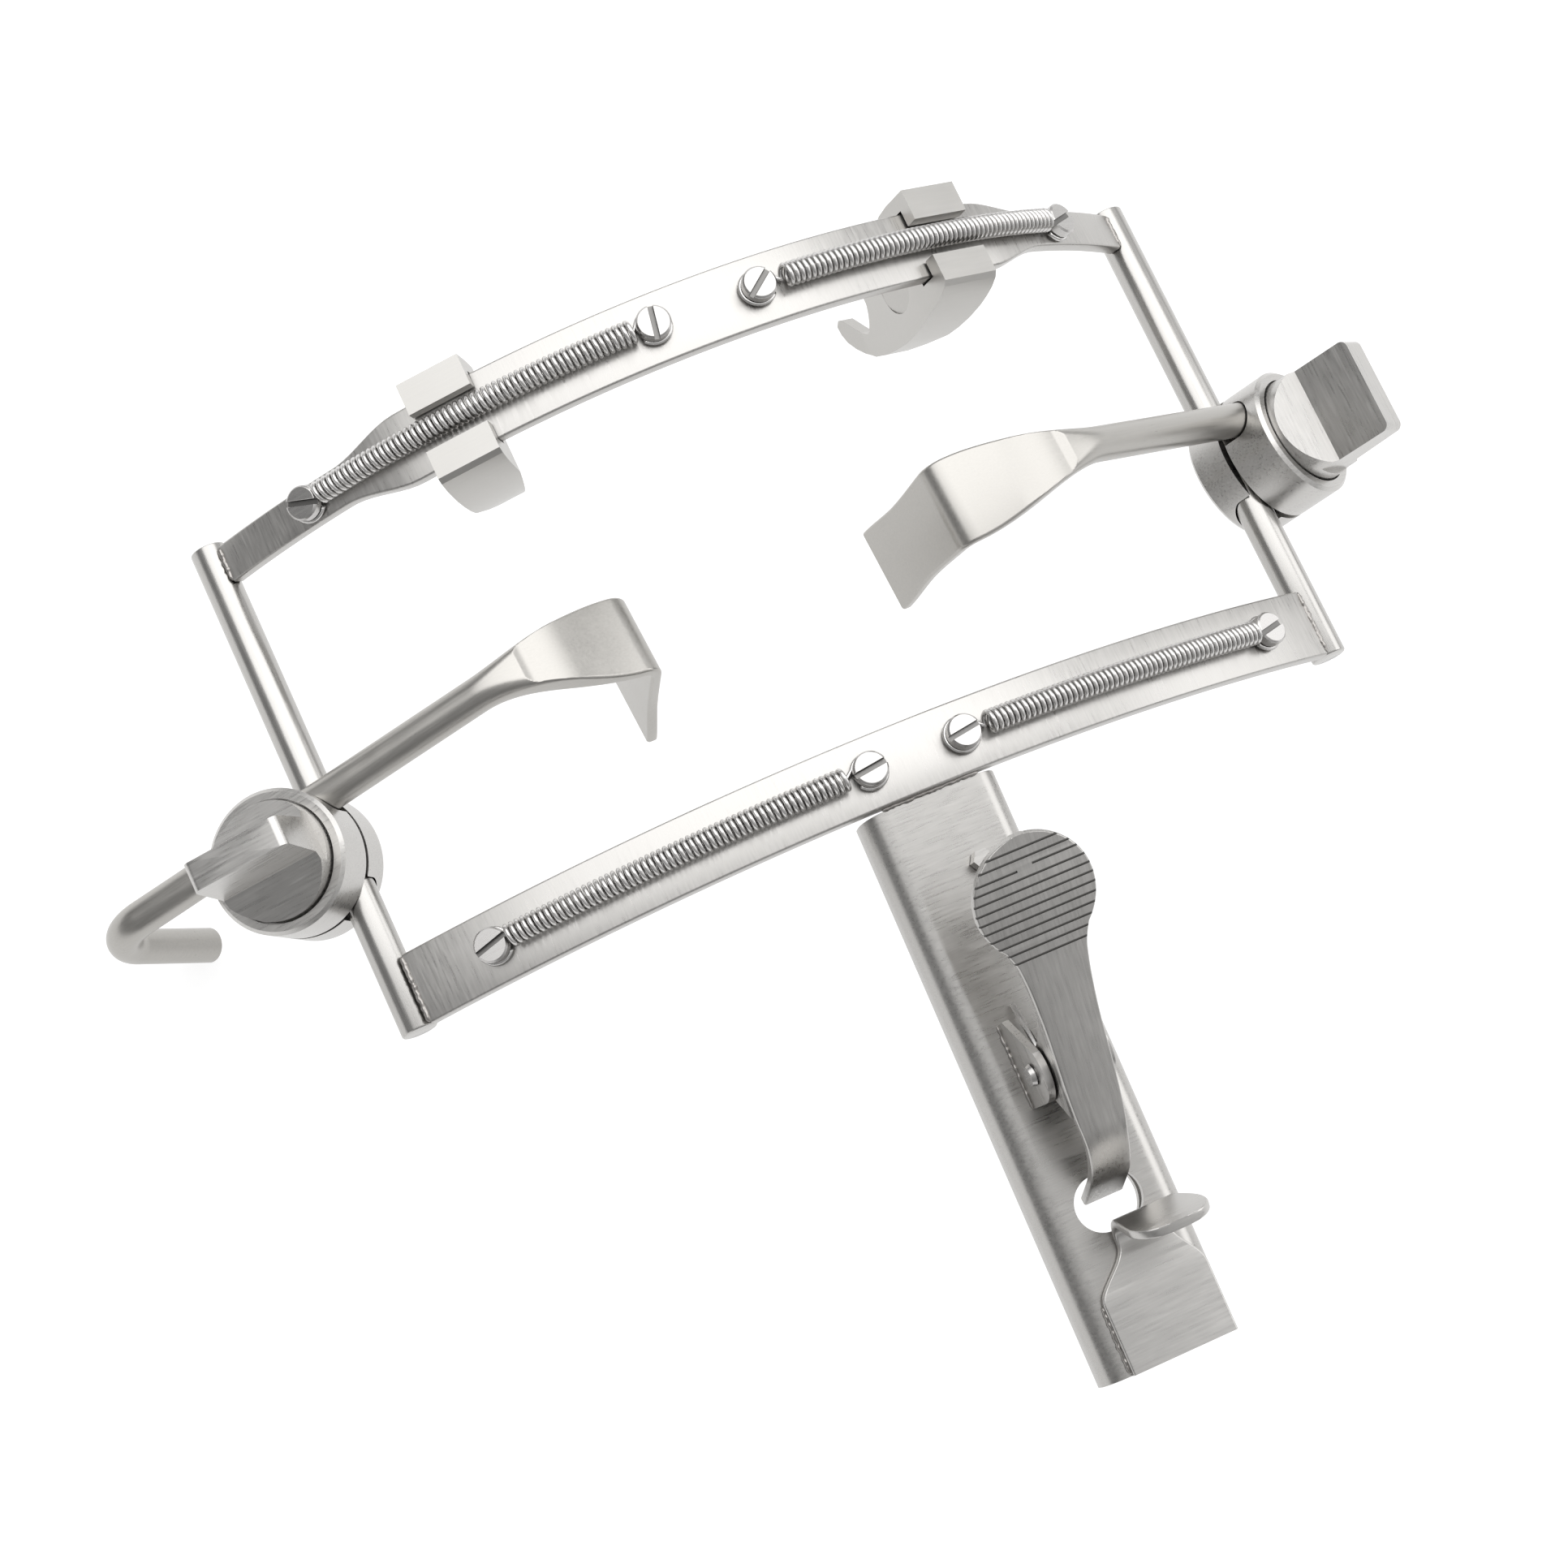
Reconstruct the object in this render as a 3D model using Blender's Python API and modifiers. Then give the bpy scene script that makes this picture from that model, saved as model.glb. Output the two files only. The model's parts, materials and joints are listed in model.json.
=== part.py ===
"""Mouth gag with an arched frame, two sliding tooth hooks, two clamped cheek retractors,
four coil springs that hold sutures, and a channel handle with a sprung catch lever.

Run it with: blender --background --python part.py
Metres, +Z up. The gag lies on its back: X runs across the mouth, Y from the handle to the
upper bar, and Z towards the surgeon. The origin is on the floor of the handle's channel, at
its open end.
"""
import math

import bmesh
import bpy
from mathutils import Vector

MM = 0.001
UP, ACROSS, OUT = Vector((0, 1, 0)), Vector((1, 0, 0)), Vector((0, 0, 1))

# Clearances
TOUCH_GAP = 0.3 * MM
RUNNING_GAP = 0.25 * MM

# Side rods
ROD_SPACING = 166 * MM
ROD_RADIUS = 3.0 * MM
ROD_LENGTH = 87.3 * MM
ROD_CHAMFER = 0.35 * MM

# Arched bars: the height is the front of the middle above the plane of the side rods
BAR_WIDTH = 12 * MM
BAR_THICKNESS = 2.5 * MM
BAR_EDGE = 0.45 * MM
BAR_END_LAP = 0.4 * MM
BAR_END_SPAN = ROD_SPACING - 2 * (ROD_RADIUS - BAR_END_LAP)
BAR_END_HEIGHT = 4.55 * MM
UPPER_BAR_Y = 39.3 * MM
UPPER_BAR_HEIGHT = 38.0 * MM
LOWER_BAR_Y = -37.8 * MM
LOWER_BAR_HEIGHT = 25.5 * MM
NECK_WIDTH = 6.6 * MM
NECK_START = 52.5 * MM
NECK_RUN = 13 * MM

# Spring screws, by their distance across the frame
UPPER_SCREWS = (-67.2 * MM, -9.5 * MM, 8.6 * MM, 66.6 * MM)
LOWER_SCREWS = (-68.2 * MM, -5.5 * MM, 10.8 * MM, 69.9 * MM)
SCREW_SHANK_RADIUS = 1.5 * MM
SCREW_HEAD_RADIUS = 2.85 * MM
SCREW_HEAD_HEIGHT = 1.7 * MM
SCREW_SLOT_WIDTH = 0.9 * MM
SCREW_SLOT_DEPTH = 0.8 * MM
SCREW_SLOT_TURNS = (40, -35, 25, 60, 55, -20, 15, 70)

# Suture springs
SPRING_WIRE = 0.42 * MM
SPRING_OUTER_RADIUS = 2.05 * MM
SPRING_PITCH = 2.1 * MM
SPRING_TURN_POINTS = 5
SPRING_END_GAP = 0.55 * MM

# Tooth hooks
HOOK_ANGLE = 22.5
HOOK_WIDTH = 11 * MM
HOOK_LIP = 2.6 * MM
HOOK_TOP_HEIGHT = 2.8 * MM
HOOK_LIP_GAP = 6.7 * MM
HOOK_BACK = 2.15 * MM
HOOK_DISH_RADIUS = 4.7 * MM
HOOK_DISH_DEPTH = 0.8 * MM
HOOK_DISH_AT = (-10.5 * MM, -1.8 * MM)
HOOK_CHAMFER = 0.25 * MM
HOOK_SLOPE_START = 4 * MM
HOOK_INNER_SLOPE = 0.2
HOOK_DEPTH = 27 * MM
CLAW_WIDTH = 4 * MM

# The hook's side view, in millimetres in front of the bar and up the frame
HOOK_FOOT = -8.2
HOOK_UNDERSIDE = ((1.8, -9.0), (0.0, -9.8), (-2.0, -10.3), (-4.5, -10.7), (-8.0, -10.9), (-11.5, -10.8),
                  (-15.0, -10.4), (-19.0, -9.5), (-22.5, -8.5))
HOOK_CLAW = ((-26.0, -7.0), (-28.3, -5.1), (-29.9, -3.3), (-31.2, -1.3), (-31.8, 0.6), (-31.9, 2.2),
             (-31.0, 2.9), (-30.1, 2.5), (-29.2, 1.3), (-28.2, -0.1), (-26.9, -1.8), (-25.6, -2.8))
HOOK_HEEL = ((-24.6, -3.1), (-23.2, -2.1), (-22.1, -0.8), (-21.3, 0.6), (-21.2, 2.4), (-17.5, 4.6), (-11.0, 6.6))

# Rod clamps
JAW_RADIUS = 11.7 * MM
BACK_JAW_REAR = -4.3 * MM
BACK_JAW_FRONT = 2.3 * MM
JAW_GAP = 1.0 * MM
FRONT_JAW_THICKNESS = 8.6 * MM
RECESS_DEPTH = 1.9 * MM
JAW_CHAMFER = 0.6 * MM
BOLT_RADIUS = 2.5 * MM
BOLT_HEAD_RADIUS = 4.0 * MM
BOLT_HEAD_HEIGHT = 0.9 * MM
BOLT_TO_ROD = 6.3 * MM
LEFT_CLAMP_Y = -11.1 * MM
LEFT_CLAMP_TURN = -27.7
LEFT_RETRACTOR_SLOPE = 4.75
RIGHT_CLAMP_Y = -6.6 * MM
RIGHT_CLAMP_TURN = 39.5
RIGHT_RETRACTOR_SLOPE = 4.1

# Wing knobs
KNOB_RADIUS = 9.6 * MM
KNOB_RIM = 2.7 * MM
KNOB_RIDGE_RISE = 3.9 * MM
WING_TOP_RISE = 17.1 * MM
WING_HALF_ROOT = 3.0 * MM
WING_HALF_TOP = 2.4 * MM
WING_LENGTH = 17.2 * MM
WING_FOOT = 0.8 * MM
KNOB_THREAD_DEPTH = 6.2 * MM

# Cheek retractors
RETRACTOR_RADIUS = 2.9 * MM
RETRACTOR_HOOK_BEND = 6.6 * MM
LEFT_HOOK_TURN = 108
RIGHT_HOOK_TURN = 75
RETRACTOR_HOOK_ARM = 17.0 * MM
RETRACTOR_STRAIGHT = 66.6 * MM
RETRACTOR_BEND = 21.3 * MM
RETRACTOR_TURN = 42.8
BLADE_RUN = 10.9 * MM
BLADE_BEND = 3.0 * MM
BLADE_TURN = 74.3
BLADE_TIP = 23.9 * MM
BLADE_HALF_WIDTH = 7.2 * MM
BLADE_WAIST = 6.6 * MM
BLADE_THICKNESS = 1.9 * MM
BLADE_EDGE = 0.55 * MM
FACE_RUN = 3.0 * MM
FACE_START = 1.9 * MM
ROD_END_ROUND = 0.6 * MM
LEFT_RETRACTOR_OUT = 26.4 * MM
RIGHT_RETRACTOR_OUT = 10.9 * MM
LEFT_RETRACTOR_SPIN = -7
RIGHT_RETRACTOR_SPIN = 0

# Handle tube, as long as the lever's pin, the catch hole and the end tab need below the lower bar
PIN_DOWN = 47.4 * MM
PIN_TO_HOLE = 22.5 * MM
HOLE_TO_TAB = 6.9 * MM
TAB_NECK_RUN = 19.2 * MM
HANDLE_X = 2.65 * MM
HANDLE_FRONT_Z = 24.0 * MM
HANDLE_TILT = 7.0
CATCH_HOLE_DOWN = PIN_DOWN + PIN_TO_HOLE
HANDLE_LENGTH = CATCH_HOLE_DOWN + HOLE_TO_TAB + TAB_NECK_RUN
HANDLE_WIDTH = 24 * MM
HANDLE_DEPTH = 10 * MM
HANDLE_CORNER = 4.5 * MM
HANDLE_WALL = 1.3 * MM
CATCH_HOLE_WIDTH = 11.5 * MM
CATCH_HOLE_LENGTH = 9.1 * MM
BACK_HOLE_WIDTH = 15 * MM
BACK_HOLE_LENGTH = 12 * MM

# End tab
TAB_THICKNESS = 1.5 * MM
TAB_FOOT_WIDTH = 18.4 * MM
TAB_FOOT_SHIFT = 1.2 * MM
TAB_FOOT_RUN = 11.5 * MM
TAB_NECK_WIDTH = 8.8 * MM
TAB_NECK_SHIFT = 2.4 * MM
TAB_BEND = 2.6 * MM
TAB_TURN = 108
TAB_REACH = 10.9 * MM
TAB_END_WIDTH = 13.6 * MM
TAB_END_SHIFT = 4.3 * MM
TAB_END_ROUND = 5.0 * MM
SHEET_EDGE = 0.4 * MM

# Catch lever: distances along it run from the pin towards the thumb pad
LEVER_X = 0.65 * MM
PIN_HEIGHT = 8.0 * MM
LEVER_TILT = 23.4
LEVER_RISE = 7.5 * MM
LEVER_THICKNESS = 1.6 * MM
PAD_RADIUS = 10 * MM
PAD_END = 40.1 * MM
PAD_END_HALF = 1.2 * MM
PAD_SHOULDER = 7 * MM
PAD_GROOVES = 12
PAD_GROOVE_PITCH = 1.55 * MM
PAD_GROOVE_WIDTH = 0.5 * MM
PAD_GROOVE_DEPTH = 0.35 * MM
WAIST_WIDTH = 11.5 * MM
WAIST_AT = 19.5 * MM
STRIP_WIDTH = 6.9 * MM
CHEEK_WIDTH = 8.8 * MM
CHEEK_THICKNESS = 1.1 * MM
CHEEK_LOBE = 3.6 * MM
CHEEK_LOBE_ARC = (205, 350)
CHEEK_HEEL = 6.2 * MM
CHEEK_THROAT = (6.0 * MM, 2.2 * MM)
CHEEK_SHOULDER = 10.5 * MM
CHEEK_SHOULDER_DROP = 1.7 * MM
CHEEK_TOE = 15.5 * MM
CATCH_BEND_AT = -8.2 * MM
CATCH_BEND = 15.5 * MM
CATCH_TURN = 49
CATCH_TIP = 6.6 * MM
PIN_RADIUS = 1.4 * MM
PIN_HEAD_RADIUS = 1.85 * MM
EAR_GAP = 9.4 * MM
EAR_THICKNESS = 1.2 * MM
EAR_TOE = 9.2 * MM
EAR_TOE_LEAN = 0.2 * MM
EAR_TOE_HEIGHT = 2.6 * MM
EAR_ARC = (52, 180)
EAR_ROUND = 4.9 * MM
LEVER_SPRING_WIRE = 0.5 * MM
LEVER_SPRING_RADIUS = 2.4 * MM
LEVER_SPRING_TURNS = 4

# Stop screw: its end stands in the channel, where it stops the tongue blade's shank
STOP_X = 2.8 * MM
STOP_DOWN = 13.3 * MM
STOP_HEAD_RADIUS = 1.7 * MM
STOP_HEAD_HEIGHT = 2.7 * MM
STOP_RADIUS = 1.1 * MM
STOP_REACH = 2.2 * MM

# Worked out from the sizes above
UPPER_RISE = UPPER_BAR_HEIGHT - BAR_END_HEIGHT
LOWER_RISE = LOWER_BAR_HEIGHT - BAR_END_HEIGHT
HALF_SPAN = BAR_END_SPAN / 2
UPPER_RADIUS = (HALF_SPAN ** 2 + UPPER_RISE ** 2) / (2 * UPPER_RISE)
LOWER_RADIUS = (HALF_SPAN ** 2 + LOWER_RISE ** 2) / (2 * LOWER_RISE)
UPPER_AXIS_Z = UPPER_BAR_HEIGHT - UPPER_RADIUS
LOWER_AXIS_Z = LOWER_BAR_HEIGHT - LOWER_RADIUS
SCREW_HEAD_UNDER = TOUCH_GAP + 2 * SPRING_WIRE + TOUCH_GAP
COIL_RADIUS = SPRING_OUTER_RADIUS - SPRING_WIRE
COIL_HEIGHT = TOUCH_GAP + SPRING_OUTER_RADIUS
FRONT_JAW_REAR = BACK_JAW_FRONT + JAW_GAP
FRONT_JAW_FRONT = FRONT_JAW_REAR + FRONT_JAW_THICKNESS
RETRACTOR_HEIGHT = FRONT_JAW_REAR + RETRACTOR_RADIUS
BOLT_TO_RETRACTOR = BOLT_RADIUS + RETRACTOR_RADIUS + 0.8 * MM
KNOB_REAR = FRONT_JAW_FRONT - RECESS_DEPTH + TOUCH_GAP
BAR_UNDERSIDE_Y = LOWER_BAR_Y - BAR_WIDTH / 2
CHANNEL_FLOOR = HANDLE_DEPTH - HANDLE_WALL
TILT = math.radians(HANDLE_TILT)


def clear_scene():
    for item in list(bpy.data.objects):
        bpy.data.objects.remove(item, do_unlink=True)


def make_collection(name):
    collection = bpy.data.collections.new(name)
    bpy.context.scene.collection.children.link(collection)
    return collection


def make_material(name, colour, roughness):
    material = bpy.data.materials.new(name)
    material.use_nodes = True
    shader = material.node_tree.nodes["Principled BSDF"]
    shader.inputs["Base Color"].default_value = (*colour, 1)
    shader.inputs["Metallic"].default_value = 1
    shader.inputs["Roughness"].default_value = roughness
    return material


clear_scene()
PIECES = make_collection("mouth_gag")
CUTTERS = make_collection("cutters")
CUTTERS.hide_render = True


def frame_at(name, parent, location, turn=(0, 0, 0)):
    """An empty that carries pieces: its place and its turn in degrees stand in its parent's frame."""
    empty = bpy.data.objects.new(name, None)
    empty.empty_display_size = 0.01
    PIECES.objects.link(empty)
    empty.parent = parent
    empty.location = location
    empty.rotation_euler = [math.radians(angle) for angle in turn]
    return empty


def place(item, name, parent, location=(0, 0, 0), turn=(0, 0, 0), look=None):
    """Names a new object, puts it in its frame and in the right collection. No look makes it a cutter."""
    for collection in list(item.users_collection):
        collection.objects.unlink(item)
    (PIECES if look else CUTTERS).objects.link(item)
    item.name = name
    item.parent = parent
    item.location = location
    item.rotation_euler = [math.radians(angle) for angle in turn]
    if look:
        material = make_material(name + "_steel", *look)
        item.data.materials.clear()
        item.data.materials.append(material)
    else:
        item.hide_render = True
        item.display_type = "WIRE"
    return item


def mesh_object(name, shape):
    """A new object that holds a finished bmesh."""
    bmesh.ops.recalc_face_normals(shape, faces=shape.faces)
    mesh = bpy.data.meshes.new(name)
    shape.to_mesh(mesh)
    shape.free()
    return bpy.data.objects.new(name, mesh)


def round_bar(name, radius, bottom, top, parent, sides=32, look=None, **where):
    """A cylinder along its own Z."""
    bpy.ops.mesh.primitive_cylinder_add(vertices=sides, radius=radius, depth=top - bottom)
    item = bpy.context.object
    for vertex in item.data.vertices:
        vertex.co.z += (top + bottom) / 2
    return place(item, name, parent, look=look, **where)


def block(name, low, high, parent, look=None, **where):
    """A box between two corners."""
    bpy.ops.mesh.primitive_cube_add(size=1)
    item = bpy.context.object
    low, high = Vector(low), Vector(high)
    for vertex in item.data.vertices:
        vertex.co = [a + (b - a) * (c + 0.5) for a, b, c in zip(low, high, vertex.co)]
    return place(item, name, parent, look=look, **where)


def turned(name, profile, parent, steps=24, look=None, **where):
    """A profile of (radius, height) points, from the axis out, up and back, turned about Z."""
    shape = bmesh.new()
    points = [shape.verts.new((radius, 0, height)) for radius, height in reversed(profile)]
    for first, second in zip(points, points[1:]):
        shape.edges.new((first, second))
    mesh = bpy.data.meshes.new(name)
    shape.to_mesh(mesh)
    shape.free()
    item = bpy.data.objects.new(name, mesh)
    screw = item.modifiers.new("turn", "SCREW")
    screw.steps = screw.render_steps = steps
    screw.use_merge_vertices = True
    screw.merge_threshold = 0.00001
    return place(item, name, parent, look=look, **where)


def plate(name, outlines, bottom, top, parent, look=None, **where):
    """Closed outlines of (x, y) points, filled and raised between two heights. A second one is a hole."""
    curve = bpy.data.curves.new(name, "CURVE")
    curve.dimensions = "2D"
    curve.fill_mode = "BOTH"
    curve.extrude = (top - bottom) / 2
    for outline in outlines:
        spline = curve.splines.new("POLY")
        spline.points.add(len(outline) - 1)
        for point, (x, y) in zip(spline.points, outline):
            point.co = (x, y, 0, 1)
        spline.use_cyclic_u = True
    drawn = bpy.data.objects.new(name + "_drawn", curve)
    PIECES.objects.link(drawn)
    graph = bpy.context.evaluated_depsgraph_get()
    mesh = bpy.data.meshes.new_from_object(drawn.evaluated_get(graph))
    bpy.data.objects.remove(drawn)
    shape = bmesh.new()
    shape.from_mesh(mesh)
    bmesh.ops.remove_doubles(shape, verts=shape.verts, dist=0.000001)
    bmesh.ops.translate(shape, verts=shape.verts, vec=(0, 0, (top + bottom) / 2))
    return place(mesh_object(name, shape), name, parent, look=look, **where)


def wire(name, points, radius, parent, sides=0, look=None, **where):
    """A round wire through a list of points, as a closed mesh."""
    curve = bpy.data.curves.new(name, "CURVE")
    curve.dimensions = "3D"
    curve.bevel_depth = radius
    curve.bevel_resolution = sides
    curve.use_fill_caps = True
    spline = curve.splines.new("POLY")
    spline.points.add(len(points) - 1)
    for target, point in zip(spline.points, points):
        target.co = (*point, 1)
    drawn = bpy.data.objects.new(name + "_drawn", curve)
    PIECES.objects.link(drawn)
    graph = bpy.context.evaluated_depsgraph_get()
    mesh = bpy.data.meshes.new_from_object(drawn.evaluated_get(graph))
    bpy.data.objects.remove(drawn)
    shape = bmesh.new()
    shape.from_mesh(mesh)
    bmesh.ops.remove_doubles(shape, verts=shape.verts, dist=0.000001)
    return place(mesh_object(name, shape), name, parent, look=look, **where)


def boolean(item, other, operation):
    modifier = item.modifiers.new(other.name, "BOOLEAN")
    modifier.operation = operation
    modifier.solver = "EXACT"
    modifier.object = other


def cut(item, other):
    boolean(item, other, "DIFFERENCE")


def join(item, other):
    boolean(item, other, "UNION")


def chamfer(item, width, segments=1, angle=35):
    bevel = item.modifiers.new("edges", "BEVEL")
    bevel.width = width
    bevel.segments = segments
    bevel.limit_method = "ANGLE"
    bevel.angle_limit = math.radians(angle)


def shade_smooth(item, angle=35):
    """Smooth faces with sharp edges kept over the angle."""
    shape = bmesh.new()
    shape.from_mesh(item.data)
    for face in shape.faces:
        face.smooth = True
    for edge in shape.edges:
        if len(edge.link_faces) == 2 and edge.calc_face_angle(0) > math.radians(angle):
            edge.smooth = False
    shape.to_mesh(item.data)
    shape.free()


def ease(value, table):
    """A value read from a table of (distance, value) pairs, smooth between them."""
    for (start, low), (end, high) in zip(table, table[1:]):
        if value <= end:
            share = min(max((value - start) / (end - start), 0), 1)
            share = share * share * (3 - 2 * share)
            return low + (high - low) * share
    return table[-1][1]


def bent_line(start, heading, pieces):
    """A line in a plane made of (length, turn) pieces in metres and radians, read by distance along it."""
    def at(distance):
        point, angle = Vector(start), heading
        for length, turn in pieces:
            run = min(distance, length)
            if turn:
                radius = length / turn
                after = angle + run / radius
                chord = (math.sin(after) - math.sin(angle), math.cos(angle) - math.cos(after))
                point += radius * Vector(chord)
                angle = after
            else:
                point += run * Vector((math.cos(angle), math.sin(angle)))
            distance -= run
            if distance <= 0:
                break
        return point, angle
    return at


def rounded_section(half_width, half_height, corner, corner_points):
    """A rectangle with round corners, which is a circle when the corner takes it all."""
    points = []
    for quarter, (x_side, y_side) in enumerate(((1, 1), (-1, 1), (-1, -1), (1, -1))):
        for step in range(corner_points):
            angle = math.radians(90 * (quarter + (step + 0.5) / corner_points))
            points.append((
                x_side * (half_width - corner) + corner * math.cos(angle),
                y_side * (half_height - corner) + corner * math.sin(angle),
            ))
    return points


def loft(name, line, distances, section, along, turn_to, parent, corner_points=2, look=None, **where):
    """Sections that change along a bent line, skinned.

    section gives a half width, a half height, a corner radius, a shift sideways, and how far
    off the line the flat face on the inside of the first turn is milled.
    """
    side = along.cross(turn_to)
    shape = bmesh.new()
    rings = []
    for distance in distances:
        (first, second), angle = line(distance)
        half_width, half_height, corner, shift, face = section(distance)
        centre = along * first + turn_to * second + side * shift
        normal = turn_to * math.cos(angle) - along * math.sin(angle)
        outline = rounded_section(half_width, half_height, corner, corner_points)
        rings.append([shape.verts.new(centre + side * x + normal * max(y, -face)) for x, y in outline])
    count = len(rings[0])
    for before, after in zip(rings, rings[1:]):
        for index in range(count):
            follow = (index + 1) % count
            shape.faces.new((before[index], before[follow], after[follow], after[index]))
    shape.faces.new(rings[0])
    shape.faces.new(rings[-1])
    item = place(mesh_object(name, shape), name, parent, look=look, **where)
    if look:
        shade_smooth(item, 50)
    return item


def spread(*stops):
    """Distances from stop to stop: each stop after the first is (end, count of steps)."""
    found = [stops[0]]
    for end, count in stops[1:]:
        start = found[-1]
        found += [start + (end - start) * (step + 1) / count for step in range(count)]
    return found


# Frames: the origin is the middle of the channel floor at the handle's open end
def handle_point(x, down, height):
    """A point of the handle's own frame, in the gag's frame."""
    return Vector((
        HANDLE_X + x,
        BAR_UNDERSIDE_Y - down * math.cos(TILT) - height * math.sin(TILT),
        HANDLE_FRONT_Z - down * math.sin(TILT) + height * math.cos(TILT),
    ))


GAG = frame_at("gag_frame", None, -handle_point(0, HANDLE_LENGTH, -CHANNEL_FLOOR))
UPPER_ARC = frame_at("upper_arc_axis", GAG, (0, UPPER_BAR_Y, UPPER_AXIS_Z))
LOWER_ARC = frame_at("lower_arc_axis", GAG, (0, LOWER_BAR_Y, LOWER_AXIS_Z))
HANDLE = frame_at("handle_frame", GAG, (HANDLE_X, BAR_UNDERSIDE_Y, HANDLE_FRONT_Z), (HANDLE_TILT, 0, 0))
LEVER = frame_at("lever_pin_axis", HANDLE, (LEVER_X, -PIN_DOWN, PIN_HEIGHT), (LEVER_TILT, 0, 0))

SATIN = ((0.61, 0.60, 0.58), 0.34)
BRIGHT = ((0.68, 0.67, 0.65), 0.24)
DULL = ((0.52, 0.51, 0.49), 0.40)


# Frame rods
def make_side_rod(name, side):
    rod = round_bar(
        name, ROD_RADIUS, -ROD_LENGTH / 2, ROD_LENGTH / 2, GAG, look=SATIN,
        location=(side * ROD_SPACING / 2, 0, 0), turn=(-90, 0, 0),
    )
    chamfer(rod, ROD_CHAMFER)
    shade_smooth(rod)


make_side_rod("left_side_rod", -1)
make_side_rod("right_side_rod", 1)


# Arched bars
def make_bar(name, arc, radius, neck_width, screws):
    """A flat bar bent about its axis, its ends butted against the rods, with a hole for each screw."""
    rod_reach = math.hypot(ROD_SPACING / 2, arc.location.z)
    rod_angle = math.atan2(ROD_SPACING / 2, -arc.location.z)
    half_turn = rod_angle - math.asin((ROD_RADIUS + TOUCH_GAP) / rod_reach)
    middle = radius - BAR_THICKNESS / 2
    length = 2 * half_turn * middle
    line = bent_line((-middle * math.sin(half_turn), -middle * math.cos(half_turn)), -half_turn,
                     [(length, 2 * half_turn)])
    table = [(0, BAR_WIDTH / 2), (NECK_START, BAR_WIDTH / 2), (NECK_START + NECK_RUN, neck_width / 2)]

    def section(distance):
        return ease(abs(distance - length / 2), table), BAR_THICKNESS / 2, BAR_EDGE, 0, BAR_THICKNESS

    bar = loft(name, line, spread(0, (length, 32)), section, ACROSS, -OUT, arc, look=SATIN)
    for number, across in enumerate(screws):
        angle = math.degrees(math.asin(across / radius))
        hole = round_bar(
            f"{name}_screw_hole_{number}", SCREW_SHANK_RADIUS + RUNNING_GAP, radius - 2 * BAR_THICKNESS,
            radius + BAR_THICKNESS, arc, 16, turn=(0, angle, 0),
        )
        cut(bar, hole)


make_bar("upper_bar", UPPER_ARC, UPPER_RADIUS, NECK_WIDTH, UPPER_SCREWS)
make_bar("lower_bar", LOWER_ARC, LOWER_RADIUS, BAR_WIDTH, LOWER_SCREWS)


# Screws and suture springs
def make_screw(name, arc, radius, across, slot_turn):
    """A slotted cheese-head screw through the bar, its head clear of the spring's end wire."""
    under = radius + SCREW_HEAD_UNDER
    top = under + SCREW_HEAD_HEIGHT
    edge = 0.3 * MM
    angle = math.degrees(math.asin(across / radius))
    end = radius - BAR_THICKNESS
    profile = [
        (0, end), (SCREW_SHANK_RADIUS, end), (SCREW_SHANK_RADIUS, under), (SCREW_HEAD_RADIUS, under),
        (SCREW_HEAD_RADIUS, top - edge), (SCREW_HEAD_RADIUS - edge, top), (0, top),
    ]
    screw = turned(name, profile, arc, 16, BRIGHT, turn=(0, angle, 0))
    slot = block(
        name + "_slot", (-SCREW_HEAD_RADIUS * 2, -SCREW_SLOT_WIDTH / 2, top - SCREW_SLOT_DEPTH),
        (SCREW_HEAD_RADIUS * 2, SCREW_SLOT_WIDTH / 2, top + SCREW_SLOT_DEPTH), frame_at(
            name + "_frame", arc, (0, 0, 0), (0, angle, 0)), turn=(0, 0, slot_turn),
    )
    cut(screw, slot)


def make_spring(name, arc, radius, start_across, end_across):
    """An extension spring along the bar, with an end eye round each screw's shank."""
    start = math.asin(start_across / radius)
    end = math.asin(end_across / radius)
    eye = SCREW_SHANK_RADIUS + TOUCH_GAP + SPRING_WIRE
    reach = (SCREW_HEAD_RADIUS + SPRING_END_GAP) / radius
    turns = round((end - start - 2 * reach) * radius / SPRING_PITCH)
    flat = SPRING_WIRE + TOUCH_GAP

    def on_bar(angle, sideways, height):
        far = radius + height
        return (far * math.sin(angle), sideways, far * math.cos(angle))

    def end_eye(screw_angle, towards):
        """Points of the eye, from its free end to where it leaves for the coil."""
        found = []
        for step in range(10):
            turn = math.radians(325 - step * 33)
            along = screw_angle + towards * eye * math.cos(turn) / radius
            found.append(on_bar(along, eye * math.sin(turn), flat))
        return found

    points = end_eye(start, 1)
    for step in range(turns * SPRING_TURN_POINTS + 1):
        share = step / (turns * SPRING_TURN_POINTS)
        turn = 2 * math.pi * step / SPRING_TURN_POINTS
        angle = start + reach + (end - start - 2 * reach) * share
        height = COIL_HEIGHT - COIL_RADIUS * math.cos(turn)
        points.append(on_bar(angle, COIL_RADIUS * math.sin(turn), height))
    points += end_eye(end, -1)[::-1]
    spring = wire(name, points, SPRING_WIRE, arc, look=DULL)
    shade_smooth(spring, 100)


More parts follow.
